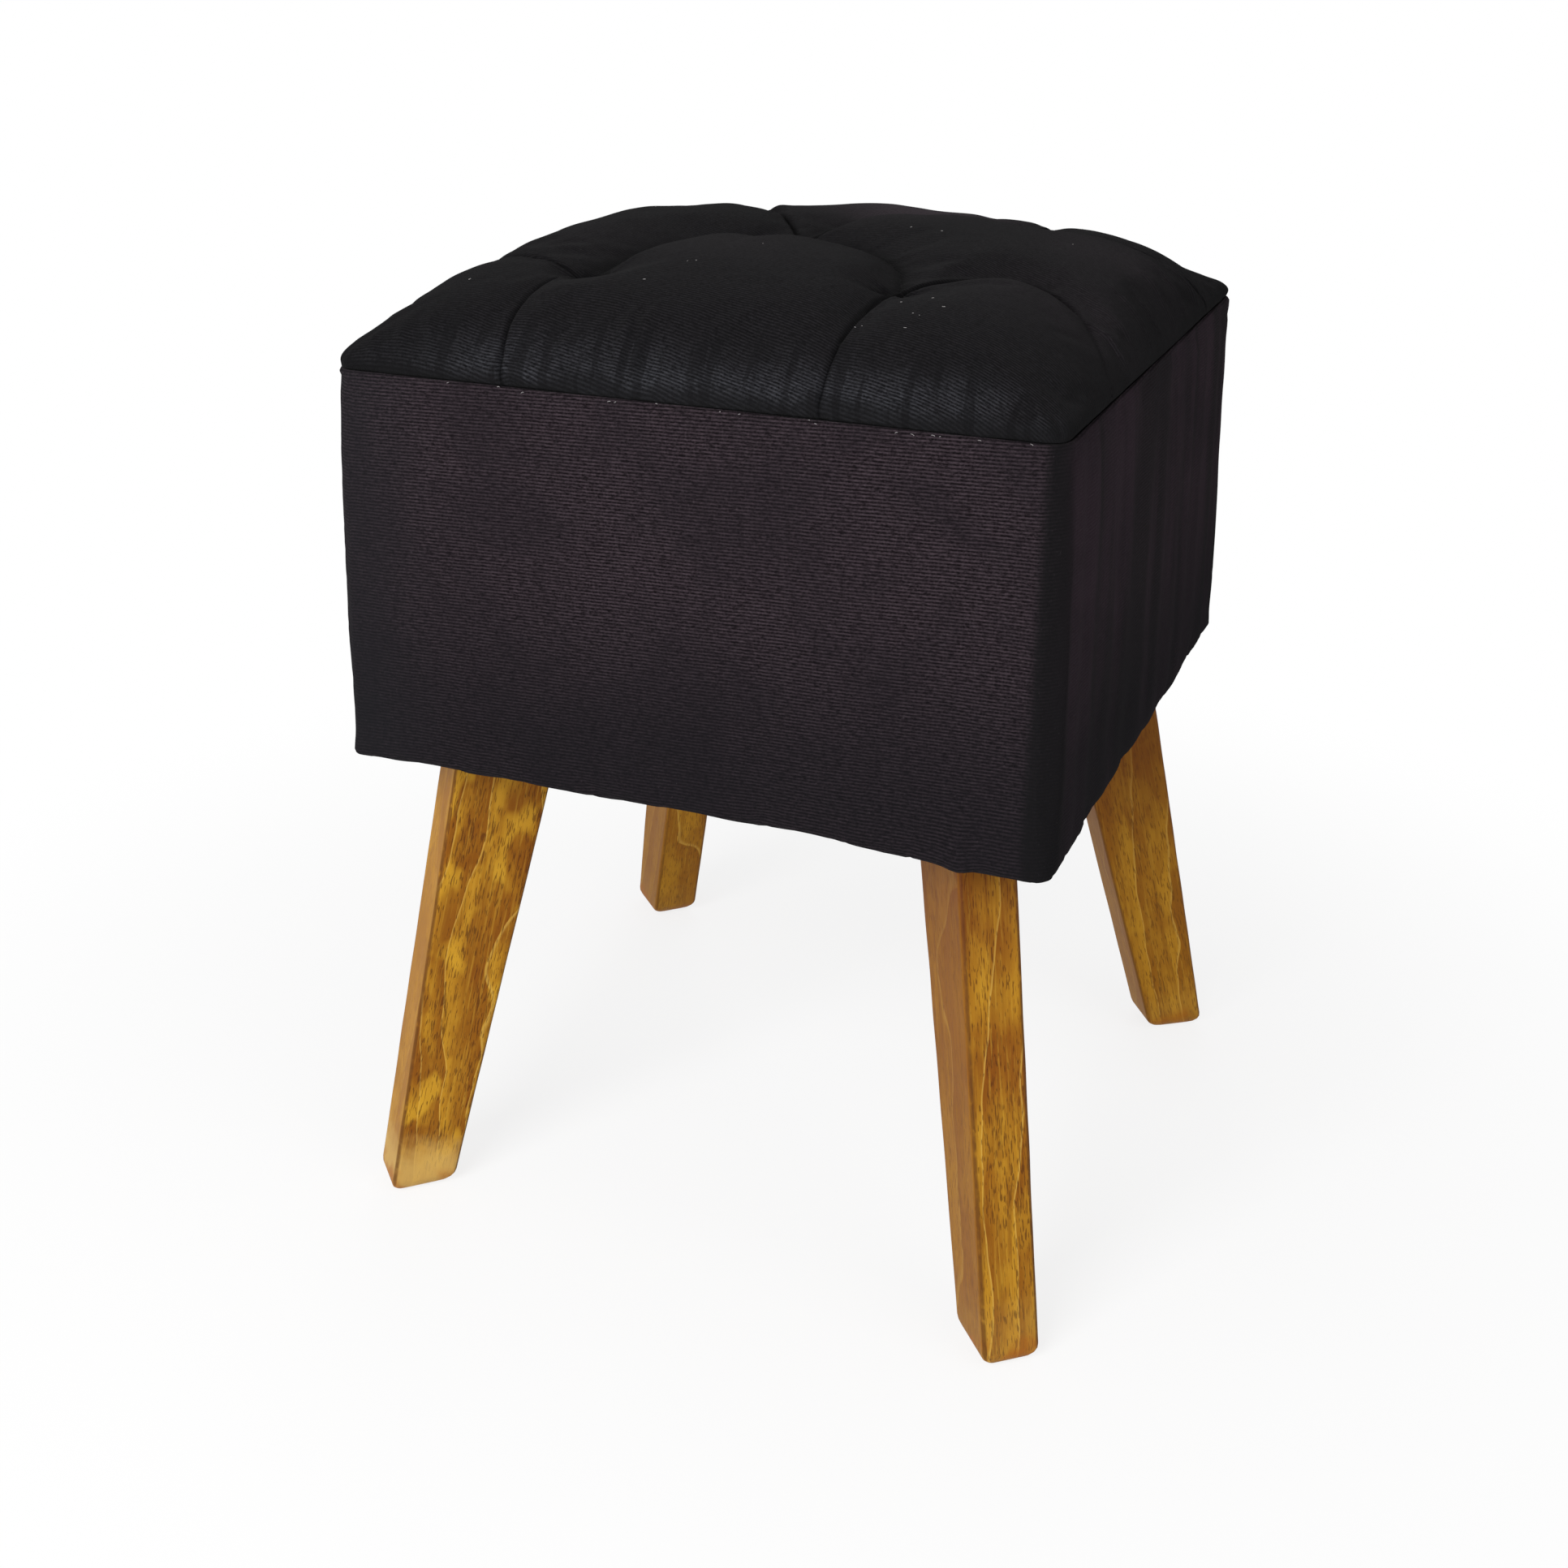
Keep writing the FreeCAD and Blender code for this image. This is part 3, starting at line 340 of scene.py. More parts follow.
def rounded(square):
    """The square's plan points with its corners drawn in to the cover's corner radius."""
    reach = np.abs(square).max(1)
    direction = square / np.maximum(reach, 1e-9)[:, None]
    corner = 1 - CORNER_RADIUS / SEAM_HALF
    beyond = np.clip((np.abs(direction).min(1) - corner) / (1 - corner), 0, 1)
    drawn = 1 - (CORNER_RADIUS / SEAM_HALF) * (math.sqrt(2) - 1) * CORNER_DRAW * beyond ** 2
    share = (reach / SEAM_HALF) ** 6
    return square * (1 + (drawn - 1) * share)[:, None]


def new_mesh(name, points, faces, smooth_faces=True):
    """Mesh from points and faces."""
    mesh = bpy.data.meshes.new(name)
    mesh.from_pydata([tuple(p) for p in points], [], [tuple(int(v) for v in f) for f in faces])
    mesh.update()
    mesh.polygons.foreach_set("use_smooth", [smooth_faces] * len(mesh.polygons))
    return mesh


def new_piece(name, points, faces, smooth_faces=True):
    """Object in the scene with a mesh of its own."""
    piece = bpy.data.objects.new(name, new_mesh(name, points, faces, smooth_faces))
    bpy.context.scene.collection.objects.link(piece)
    return piece


def read(source, name, size=1, kind=float):
    """A value of every item in a mesh's collection, as an array."""
    flat = np.zeros(len(source) * size, kind)
    source.foreach_get(name, flat)
    return flat.reshape(-1, size) if size > 1 else flat


def coordinates(piece):
    """Vertex places of a piece as an array."""
    return read(piece.data.vertices, "co", 3)


def set_coordinates(piece, points):
    """Moves a piece's vertices."""
    piece.data.vertices.foreach_set("co", np.asarray(points, float).ravel())
    piece.data.update()


def normals(piece):
    """Vertex normals of a piece as an array."""
    return read(piece.data.vertex_normals, "vector", 3)


def corner_vertices(mesh):
    """The vertex at each corner of each face."""
    return read(mesh.loops, "vertex_index", 1, int)


def cloth_coordinates(piece, points):
    """Lays the cloth's own coordinates, in metres, on the piece as its UV map."""
    layer = piece.data.uv_layers.new(name="cloth")
    layer.data.foreach_set("uv", np.asarray(points, float)[corner_vertices(piece.data)].ravel())


def bake_modifiers(piece):
    """Replaces the mesh with what its modifiers make of it."""
    shown = piece.evaluated_get(bpy.context.evaluated_depsgraph_get())
    made = bpy.data.meshes.new_from_object(shown)
    old = piece.data
    made.name = old.name
    piece.modifiers.clear()
    piece.data = made
    bpy.data.meshes.remove(old)


def subdivide(piece, levels):
    """Subdivision applied to the mesh."""
    modifier = piece.modifiers.new("subdivision", "SUBSURF")
    modifier.levels = levels
    modifier.render_levels = levels
    bake_modifiers(piece)


def turn_outward(piece):
    """Makes every face look outwards."""
    work = bmesh.new()
    work.from_mesh(piece.data)
    bmesh.ops.recalc_face_normals(work, faces=work.faces)
    work.to_mesh(piece.data)
    work.free()


def relax_cloth(piece, hold, pressure, slack, most, frames=20):
    """Cloth simulation of a padded piece. hold is each vertex's pinning, most the furthest it may go."""
    start = coordinates(piece)
    group = piece.vertex_groups.new(name="hold")
    for index, weight in enumerate(hold):
        group.add([index], float(weight), "REPLACE")
    cloth = piece.modifiers.new("cloth", "CLOTH")
    for name, value in CLOTH.items():
        setattr(cloth.settings, name, value)
    cloth.settings.uniform_pressure_force = pressure
    cloth.settings.shrink_min = -slack
    cloth.settings.effector_weights.gravity = 0
    cloth.collision_settings.use_collision = False
    cloth.collision_settings.use_self_collision = False
    scene = bpy.context.scene
    for step in range(1, frames + 1):
        scene.frame_set(step)
    bake_modifiers(piece)
    scene.frame_set(1)
    moved = coordinates(piece) - start
    length = np.linalg.norm(moved, axis=1)
    share = np.minimum(1, most / np.maximum(length, 1e-9))
    set_coordinates(piece, start + moved * share[:, None])


def crown_grid():
    """Square plan points of the crown's grid, closer together towards the seam, and its faces."""
    line = np.linspace(-1, 1, CROWN_CELLS + 1)
    line = np.sign(line) * (1 - (1 - np.abs(line)) ** CROWN_CROWDING) * SEAM_HALF
    across, along = np.meshgrid(line, line)
    square = np.stack([across.ravel(), along.ravel()], -1)
    width = CROWN_CELLS + 1
    faces = [(j * width + i, j * width + i + 1, (j + 1) * width + i + 1, (j + 1) * width + i)
             for j in range(CROWN_CELLS) for i in range(CROWN_CELLS)]
    return square, faces


def pleats(plan):
    """Depth of the sharp pleats along the folds; the cloth laps over each from one side."""
    depth = np.zeros(len(plan))
    lap = np.zeros(len(plan))
    for distance, side, share, _, _, sharp in each_fold(plan):
        fade = along_pleat(sharp, share) * MM
        depth = np.maximum(depth, fade * bell(distance, PLEAT_WIDTH * np.where(side > 0, *PLEAT_SIDES), 1.7))
        lip = np.where(side > 0, *PLEAT_LIPS) * bell(distance - LIP_PLACE, LIP_WIDTH)
        lap = np.maximum(lap, fade * lip)
    return depth - lap


def gather_to_folds(plan, reach):
    """Moves the plan points nearest to a fold onto its line, so that the pleat has a clean edge."""
    moved = plan.copy()
    for fold in FOLDS:
        for _, a, ab in stretches(fold_path(*fold[:3])):
            t = ((plan - a) @ ab) / (ab @ ab)
            foot = a + t[:, None] * ab
            close = (t >= 0) & (t <= 1) & (away_from(plan, foot) < reach)
            moved[close] = foot[close]
    return moved


def hollows(plan):
    """How deep in a fold or tuft each plan point lies, and how near to a sharp crease, from 0 to 1."""
    deep = np.zeros(len(plan))
    crease = np.zeros(len(plan))
    for distance, side, share, depths, widths, sharp in each_fold(plan):
        wide = 0.38 * np.where(side > 0, *widths) * MM
        depth = np.interp(share, (0, 0.5, 1), depths) / DEEPEST_FOLD
        deep = np.maximum(deep, depth * bell(distance, wide, 1.3))
        strength = np.clip(along_pleat(sharp, share) / DEEP_PLEAT, 0, 1)
        crease = np.maximum(crease, strength * bell(distance, 0.95 * MM))
    for place in TUFTS:
        deep = np.maximum(deep, bell(away_from(plan, place), 8 * MM, 1.3))
    return deep, crease


def tuft_pucker(plan):
    """Small creases that run out from each tuft."""
    total = np.zeros(len(plan))
    source = np.random.RandomState(WRINKLE_SEED)
    for place in TUFTS:
        away = plan - np.array(place)
        distance = np.hypot(away[:, 0], away[:, 1])
        angle = np.arctan2(away[:, 1], away[:, 0])
        ring = smooth(1.5 * MM, 7 * MM, distance) * bell(distance, 15 * MM, 1.5)
        for count in TUFT_CREASES:
            total += ring * np.cos(count * angle + source.uniform(0, 6.28)) * source.uniform(0.25, 0.5) * MM
    return total


def flank_swell(plan):
    """Outward swell of the flank's stretch wrinkles at each plan point."""
    total = np.zeros(len(plan))
    for (along_axis, out_axis, sign), wrinkles in FLANK_WRINKLES:
        inside = SEAM_HALF - plan[:, out_axis] * sign
        for place, lean, width, height, swell in wrinkles:
            away = plan[:, along_axis] - place * MM - lean * inside
            fade = smooth(0.5 * MM, 5 * MM, inside) * (1 - smooth(0.25, 1.0, inside / (height * MM)))
            total += WRINKLE_SWELL * swell * MM * fade * bell(away, width * MM)
    return total


def cloth_lengths(points):
    """Lengths over the cloth across and along the crown's grid, from its middle, for the weave."""
    width = CROWN_CELLS + 1
    middle = width // 2
    grid = points.reshape(width, width, 3)
    lengths = np.zeros((width, width, 2))
    lengths[:, 1:, 0] = np.cumsum(np.linalg.norm(np.diff(grid, axis=1), axis=2), axis=1)
    lengths[1:, :, 1] = np.cumsum(np.linalg.norm(np.diff(grid, axis=0), axis=2), axis=0)
    lengths[:, :, 0] -= lengths[:, middle:middle + 1, 0].copy()
    lengths[:, :, 1] -= lengths[middle:middle + 1, :, 1].copy()
    for _ in range(6):
        even = lengths[:-2, 1:-1] + lengths[2:, 1:-1] + lengths[1:-1, :-2] + lengths[1:-1, 2:]
        lengths[1:-1, 1:-1] = even / 4
    return lengths.reshape(-1, 2)


def build_crown():
    """Tufted crown: lofted form, relaxed as cloth, then pleats and wrinkles."""
    square, faces = crown_grid()
    points = np.column_stack([rounded(square), SEAM_Z + 0.6 * MM + tufted(square)])
    crown = new_piece("crown", points, faces)
    hold = np.where(np.abs(square).max(1) > SEAM_HALF - 0.1 * MM, 1.0, 0.0)
    for place in TUFTS:
        hold = np.maximum(hold, away_from(square, place) < TUFT_HOLD)
    for distance, *_ in each_fold(square):
        hold = np.maximum(hold, 0.75 * (distance < FOLD_HOLD))
    relax_cloth(crown, hold, pressure=2.0, slack=0.01, most=2.2 * MM)
    cloth_coordinates(crown, cloth_lengths(coordinates(crown)))
    subdivide(crown, 2)
    finish_crown(crown)
    return crown


def finish_crown(crown):
    """Pleats, puckers and wrinkles on the crown, and its edge turned into the seam."""
    points = coordinates(crown)
    points[:, :2] = gather_to_folds(points[:, :2], FOLD_GATHER)
    plan = points[:, :2]
    inside = SEAM_HALF - np.abs(plan).max(1)
    away_from_seam = smooth(0.0, 6 * MM, inside)
    swell = flank_swell(plan) + tuft_pucker(plan) * away_from_seam - pleats(plan) * smooth(0, 2 * MM, inside)
    swell += uneven(points, CROWN_WAVES) * away_from_seam
    for rise, height, reach in SEAM_SHAPE:
        swell += rise * MM * bell(points[:, 2] - SEAM_Z - height * MM, reach * MM)
    points += normals(crown) * swell[:, None]
    points[:, 2] = np.maximum(points[:, 2], SEAM_Z)
    set_coordinates(crown, points)
    close_below(crown)
    plan = coordinates(crown)[:, :2]
    # Attributes for the colour: painted shade deep in the hollows and along the sharp pleats, and paler pile
    # that is partly nap and partly painted sheen.
    deep, crease = hollows(plan)
    for name, values in (("hollow", deep), ("crease", crease), ("sheen_and_nap", spots(plan, PALE_PILE_AND_SHEEN))):
        layer = crown.data.attributes.new(name, "FLOAT", "POINT")
        layer.data.foreach_set("value", np.clip(values, 0, 1))


def open_rim(mesh, points):
    """Vertices round the open rim of a mesh, in order round its middle."""
    uses = Counter(key for polygon in mesh.polygons for key in polygon.edge_keys)
    rim = np.unique([key for key, count in uses.items() if count == 1])
    return rim[np.argsort(np.arctan2(points[rim, 1], points[rim, 0]))]


def close_below(crown):
    """Turns the crown's rim down to the seat board and closes it, so that the cushion is one closed form."""
    old = crown.data
    points = coordinates(crown)
    rim = open_rim(old, points)
    places = np.zeros((len(points), 2))
    places[corner_vertices(old)] = read(old.uv_layers["cloth"].data, "uv", 2)
    faces = [tuple(p.vertices) for p in old.polygons]
    rows = [(inset * MM, drop * MM) for inset, drop in RIM_ROWS]
    rows.append((RIM_ROWS[-1][0] * MM, points[rim][:, 2] - BOX_TOP))
    all_points, all_places = [points], [places]
    above = rim
    for inset, drop in rows:
        drawn = 1 - inset / SEAM_HALF
        lower = points[rim] * [drawn, drawn, 1]
        lower[:, 2] -= drop
        below = np.arange(len(rim)) + sum(len(p) for p in all_points)
        all_points.append(lower)
        all_places.append(places[rim])
        faces += zip(above, np.roll(above, -1), np.roll(below, -1), below)
        above = below
    faces.append(above[::-1])
    crown.data = new_mesh(old.name, np.vstack(all_points), faces)
    bpy.data.meshes.remove(old)
    cloth_coordinates(crown, np.vstack(all_places))
    turn_outward(crown)


def rounded_box(half_x, half_y, radius, flats, corner_cells):
    """Plan points of a rectangle with rounded corners, front first. flats are shares along each side."""
    points = []
    for side, (c, s) in enumerate(((1, 0), (0, 1), (-1, 0), (0, -1))):
        along, out = (half_y, half_x) if side % 2 else (half_x, half_y)
        flat = along - radius
        places = [(flat * (2 * share - 1), -out) for share in flats]
        for k in range(corner_cells):
            a = math.pi / 2 * (k / corner_cells - 1)
            places.append((flat + radius * math.cos(a), radius - out + radius * math.sin(a)))
        points += [(c * x - s * y, s * x + c * y) for x, y in places]
    return np.array(points)


def band_ring(half, radius):
    """Plan points of one level of the band."""
    return rounded_box(half, half, radius, [k / SIDE_CELLS for k in range(SIDE_CELLS)], CORNER_CELLS)


def tube_faces(count, levels, closed):
    """Faces between rings of points, each ring with the next, and the last with the first if it is closed."""
    faces = []
    for j in range(levels if closed else levels - 1):
        for i in range(count):
            n = (i + 1) % count
            down = (j + 1) % levels
            faces.append((j * count + i, down * count + i, down * count + n, j * count + n))
    return faces


def corner_radius(height):
    """Radius of the band's upright corners at a height."""
    share = np.clip((height - HEM_Z) / (SEAM_Z - HEM_Z), 0, 1)
    return HEM_CORNER_RADIUS + (CORNER_RADIUS - HEM_CORNER_RADIUS) * share


def band_profile():
    """Outer profile of the band: distance outside the seam's line, and height, from seam to flange."""
    rows = [(out * MM, SEAM_Z + rise * MM) for out, rise in SEAM_LIP]
    wide = BAND_HALF - SEAM_HALF - BAND_BOW
    count = int((SEAM_Z - HEM_Z - HEM_TURN) / BAND_STEP)
    low, high = HEM_Z + HEM_TURN, SEAM_Z - 6 * MM
    for k in range(count + 1):
        share = 1 - k / count
        bow = BAND_BOW * 4 * share * (1 - share)
        rows.append((wide * (1 - share) + bow, low + (high - low) * share))
    for degrees in (30, 60, 90):
        a = math.radians(degrees)
        rows.append((wide - HEM_TURN * (1 - math.cos(a)), HEM_Z + HEM_TURN * (1 - math.sin(a))))
    edge = SEAM_HALF - FLANGE_HALF
    for share in (0.35, 0.7, 1.0):
        rows.append((wide - HEM_TURN - (wide + edge - HEM_TURN) * share, HEM_Z))
    return rows


def build_band():
    """Band round the box with its padding: outer cloth, turned under the board, closed inside."""
    seam_ring = band_ring(SEAM_HALF, CORNER_RADIUS)
    steps = np.linalg.norm(np.roll(seam_ring, -1, 0) - seam_ring, axis=1)
    length = np.concatenate([[0], np.cumsum(steps)[:-1]])
    rows = band_profile()
    wall = -(SEAM_HALF - BOX_HALF) + BOX_GAP
    inner = [(-(SEAM_HALF - FLANGE_HALF), BOARD_Z), (wall, BOARD_Z), (wall, BOX_TOP), (-BAND_BACK, BOX_TOP)]
    count = len(seam_ring)
    points, places, held = [], [], []
    run = 0.0
    previous = rows[0]
    for number, (out, height) in enumerate(rows + inner):
        run += math.hypot(out - previous[0], height - previous[1])
        previous = (out, height)
        plan = band_ring(SEAM_HALF + out, min(corner_radius(height), SEAM_HALF + out))
        points.append(np.column_stack([plan, np.full(count, height)]))
        places.append(np.column_stack([length, np.full(count, SEAM_Z - run)]))
        sewn = number < 4 or number >= len(rows) - 3
        held.append(np.full(count, 1.0 if sewn else 0.02))
    band = new_piece("side_band", np.vstack(points), tube_faces(count, len(points), True))
    relax_cloth(band, np.concatenate(held), pressure=1.2, slack=0.006, most=1.2 * MM, frames=14)
    cloth_coordinates(band, np.vstack(places))
    mend_seam_places(band, length.max())
    finish_band(band, count * len(rows))
    return band


def mend_seam_places(band, total):
    """Keeps the weave unbroken where the ring closes."""
    layer = band.data.uv_layers["cloth"]
    uv = read(layer.data, "uv", 2).reshape(-1, 4, 2)
    wraps = (uv[:, :, 0].max(1) - uv[:, :, 0].min(1)) > total / 2
    low = uv[:, :, 0] < total / 2
    uv[:, :, 0] += np.where(wraps[:, None] & low, total + BAND_STEP, 0)
    layer.data.foreach_set("uv", uv.ravel())


def finish_band(band, outer_count):
    """Soft unevenness of the padding, standing folds on the right side and a wavy hem."""
    points = coordinates(band)
    outer = np.arange(len(points)) < outer_count
    plan, level = points[:, :2], points[:, 2]
    middle = smooth(SEAM_Z - 3 * MM, SEAM_Z - 25 * MM, level) * smooth(HEM_Z - 2 * MM, HEM_Z + 12 * MM, level)
    direction = plan - np.clip(plan, -SEAM_HALF + CORNER_RADIUS, SEAM_HALF - CORNER_RADIUS)
    direction /= np.maximum(np.linalg.norm(direction, axis=1), 1e-9)[:, None]
    swell = uneven(points, BAND_WAVES)
    bow = 1 - (np.abs(plan).min(1) / SEAM_HALF) ** 2
    swell += BAND_SPREAD * bow * (1 - (level - HEM_Z) / (SEAM_Z - HEM_Z))
    height, pitch, wander, length, seed = STANDING
    wave = np.sin(2 * math.pi * plan[:, 1] / pitch + wander * value_noise(plan, length, seed))
    swell += smooth(0.9, 1.0, direction[:, 0]) * height * wave
    for spot, height, reach in CORNER_TUCKS:
        swell -= spots(plan, [spot]) * MM * bell(level - height * MM, reach * MM)
    points[:, :2] += direction * (swell * middle * outer)[:, None]
    near_hem = smooth(HEM_Z + HEM_REACH, HEM_Z, level) * outer
    near_hem *= smooth(FLANGE_HALF, BOX_HALF, np.abs(plan).max(1))
    round_box = np.column_stack([plan[:, 0] - plan[:, 1], plan[:, 0] + plan[:, 1]])
    rise, length, seed = HEM_WAVES
    points[:, 2] -= near_hem * (HEM_SAG + rise * value_noise(round_box, length, seed)) * MM
    points[:, 2] -= near_hem * spots(plan, HEM_DROOPS) * MM
    set_coordinates(band, points)
    turn_outward(band)


def heading(degrees):
    """Level direction at an angle from the x axis."""
    return np.array((math.cos(math.radians(degrees)), math.sin(math.radians(degrees))))


def build_leg(name, look):
    """Leg with softened arrises and a worn, rounded foot, in its packed place."""
    corner, set_angle, splay = look[:3]
    top = LEG_TOP_REACH * heading(corner)
    out = heading(corner + set_angle)
    across = np.array((-out[1], out[0]))
    rows = [(FOOT_ROUND * (1 - math.sin(math.radians(a))), FOOT_ROUND * (1 - math.cos(math.radians(a))))
            for a in (90, 75, 60, 45, 30, 15)]
    rows += [(height, 0.0) for height in np.linspace(FOOT_ROUND, LEG_TOP_Z, LEG_ROWS)]
    points = []
    for height, inset in rows:
        wide = LEG_FOOT_HALF + LEG_WIDENING * height - inset
        thick = LEG_HALF - inset
        arris = min(LEG_ARRIS + 0.45 * inset, thick - 0.1 * MM)
        section = rounded_box(wide, thick, arris, LEG_FLATS, LEG_CORNER_CELLS)
        middle = top + out * splay * (1 - height / LEG_TOP_Z)
        plan = middle + section[:, :1] * out + section[:, 1:] * across
        points.append(np.column_stack([plan, np.full(len(plan), height)]))
    count = len(points[0])
    faces = tube_faces(count, len(rows), False)
    faces += [range(count), [(len(rows) - 1) * count + i for i in reversed(range(count))]]
    leg = new_piece(name + "_wood", np.vstack(points), faces)
    turn_outward(leg)
    shape = coordinates(leg)
    middle = smooth(0, 12 * MM, shape[:, 2]) * smooth(LEG_TOP_Z, LEG_TOP_Z - 9 * MM, shape[:, 2])
    patchy = LEG_WEAR * (1 + value_noise(shape, 55 * MM, 21)) * middle
    set_coordinates(leg, shape - normals(leg) * patchy[:, None])
    return leg


class Shader:
    """Nodes of a material or a world, with short calls for the common ones, and the colour made so far."""

    def __init__(self, name, palette=None, holders=bpy.data.materials):
        self.palette = palette
        self.color = None
        self.holder = holders.new(name)
        self.holder.use_nodes = True
        self.tree = self.holder.node_tree
        self.surface = self.tree.nodes.get("Principled BSDF")

    def node(self, kind, inputs=None, **settings):
        """New node. Each of its inputs, by name or number, is a value or another node's output."""
        made = self.tree.nodes.new("ShaderNode" + kind)
        for key, value in settings.items():
            setattr(made, key, value)
        for key, value in (inputs or {}).items():
            self.link(value, made.inputs[key])
        return made

    def link(self, value, socket):
        """Sets a socket to a number, vector or colour, or joins it to another node's output."""
        if isinstance(value, str):
            value = self.palette[value]
        if isinstance(value, bpy.types.NodeSocket):
            self.tree.links.new(value, socket)
        else:
            socket.default_value = (*value, 1.0) if socket.type == "RGBA" else value

    def math(self, operation, a, b=0.0):
        return self.node("Math", {0: a, 1: b}, operation=operation).outputs[0]

    def times(self, first, *others):
        for value in others:
            first = self.math("MULTIPLY", first, value)
        return first

    def plus(self, a, b):
        return self.math("ADD", a, b)

    def minus(self, a, b):
        return self.math("SUBTRACT", a, b)

    def root_of_squares(self, a, b):
        return self.math("SQRT", self.plus(self.times(a, a), self.times(b, b)))

    def rises(self, value, low, high):
        """Smooth step from 0 at low to 1 at high."""
        inputs = {"Value": value, "From Min": low, "From Max": high}
        return self.node("MapRange", inputs, interpolation_type="SMOOTHSTEP").outputs["Result"]

    def falls(self, value, low, high):
        """Smooth step from 1 at low to 0 at high."""
        return self.minus(1.0, self.rises(value, low, high))

    def mix(self, share, a, b):
        return self.node("Mix", {"Factor": share, 6: a, 7: b}, data_type="RGBA", blend_type="MIX").outputs[2]

    def tint(self, share, strength, other):
        """Lays another colour over the surface's, by a share times a strength."""
        self.color = self.mix(self.times(share, strength), self.color, other)

    def mapped(self, vector, shift=(0, 0, 0), turn=(0, 0, 0), stretch=(1, 1, 1), kind="POINT"):
        inputs = {"Vector": vector, "Location": shift, "Rotation": turn, "Scale": stretch}
        return self.node("Mapping", inputs, vector_type=kind).outputs["Vector"]

    def noise(self, vector, scale, detail=2.0, roughness=0.5, distortion=0.0, **mapping):
        """Noise from 0 to 1, at places that are first moved or stretched where mapping says so."""
        if mapping:
            vector = self.mapped(vector, **mapping)
        inputs = {"Vector": vector, "Scale": scale, "Detail": detail, "Roughness": roughness,
                  "Distortion": distortion}
        return self.node("TexNoise", inputs).outputs["Fac"]

    def parts(self, vector):
        return self.node("SeparateXYZ", {0: vector}).outputs

    def place(self, which="Object"):
        return self.node("TexCoord").outputs[which]

    def facing(self):
        return self.parts(self.node("NewGeometry").outputs["Normal"])

    def attribute(self, name):
        return self.node("Attribute", attribute_name=name).outputs["Fac"]

    def bump(self, height, distance, **before):
        return self.node("Bump", {"Distance": distance, "Height": height, **before}).outputs["Normal"]

    def finish(self, **inputs):
        """Joins the surface's colour and bump, and sets what is the same all over on its own sockets."""
        for name, value in {"Base_Color": self.color, **inputs}.items():
            self.link(value, self.surface.inputs[name.replace("_", " ")])
        return self.holder


def suede(s, cloth, pitch, seed):
    """Ribs of the backing, broken into dashes, with the grain of the pile; the grain; and their bump."""
    _, y, _ = s.parts(cloth)
    wander = s.noise(cloth, 1.0, 2.0, stretch=(9, 22, 1))
    rib = s.math("SINE", s.plus(s.times(y, 2 * math.pi / pitch), s.times(wander, 6.0)))
    rib = s.plus(s.times(rib, 0.5), 0.5)
    broken = s.noise(cloth, 1.0, 2.0, 0.6, shift=(seed, 0, 0), stretch=(300, 1100, 1))
    grain = s.noise(s.place(), 900.0, 2.0, 0.7)
    share = s.times(rib, s.rises(broken, 0.22, 0.66))
    share = s.plus(s.times(share, 0.74), s.times(s.rises(grain, 0.36, 0.70), 0.26))
    normal = s.bump(share, 0.20 * MM)
    return share, grain, s.bump(grain, 0.10 * MM, Normal=normal)


SUEDE_SHEEN = {"Sheen_Weight": 0.02, "Sheen_Roughness": 0.5, "Specular_IOR_Level": 0.0}
# The crown's colours: the pale bluish rib colour is a painted highlight; the edge, left, side, hollow and
# crease colours are painted shade; the paler purple pile is partly nap and partly painted sheen.
CROWN_COLORS = {
    "pile shade": (0.0046, 0.0044, 0.0048), "pile": (0.0184, 0.0172, 0.0192),
    "rib shade": (0.0024, 0.0025, 0.0029), "rib": (0.0640, 0.0655, 0.0750),
    "sheen and nap groove": (0.0310, 0.0240, 0.0285), "sheen_and_nap": (0.0560, 0.0450, 0.0530),
    "edge": (0.0072, 0.0071, 0.0077), "left": (0.0058, 0.0057, 0.0062),
    "streak": (0.0062, 0.0060, 0.0066), "patch": (0.0085, 0.0080, 0.0088),
    "side": (0.0078, 0.0076, 0.0082), "tip": (0.070, 0.064, 0.070),
    "hollow": (0.0036, 0.0035, 0.0038), "crease": (0.0010, 0.0010, 0.0011),
}


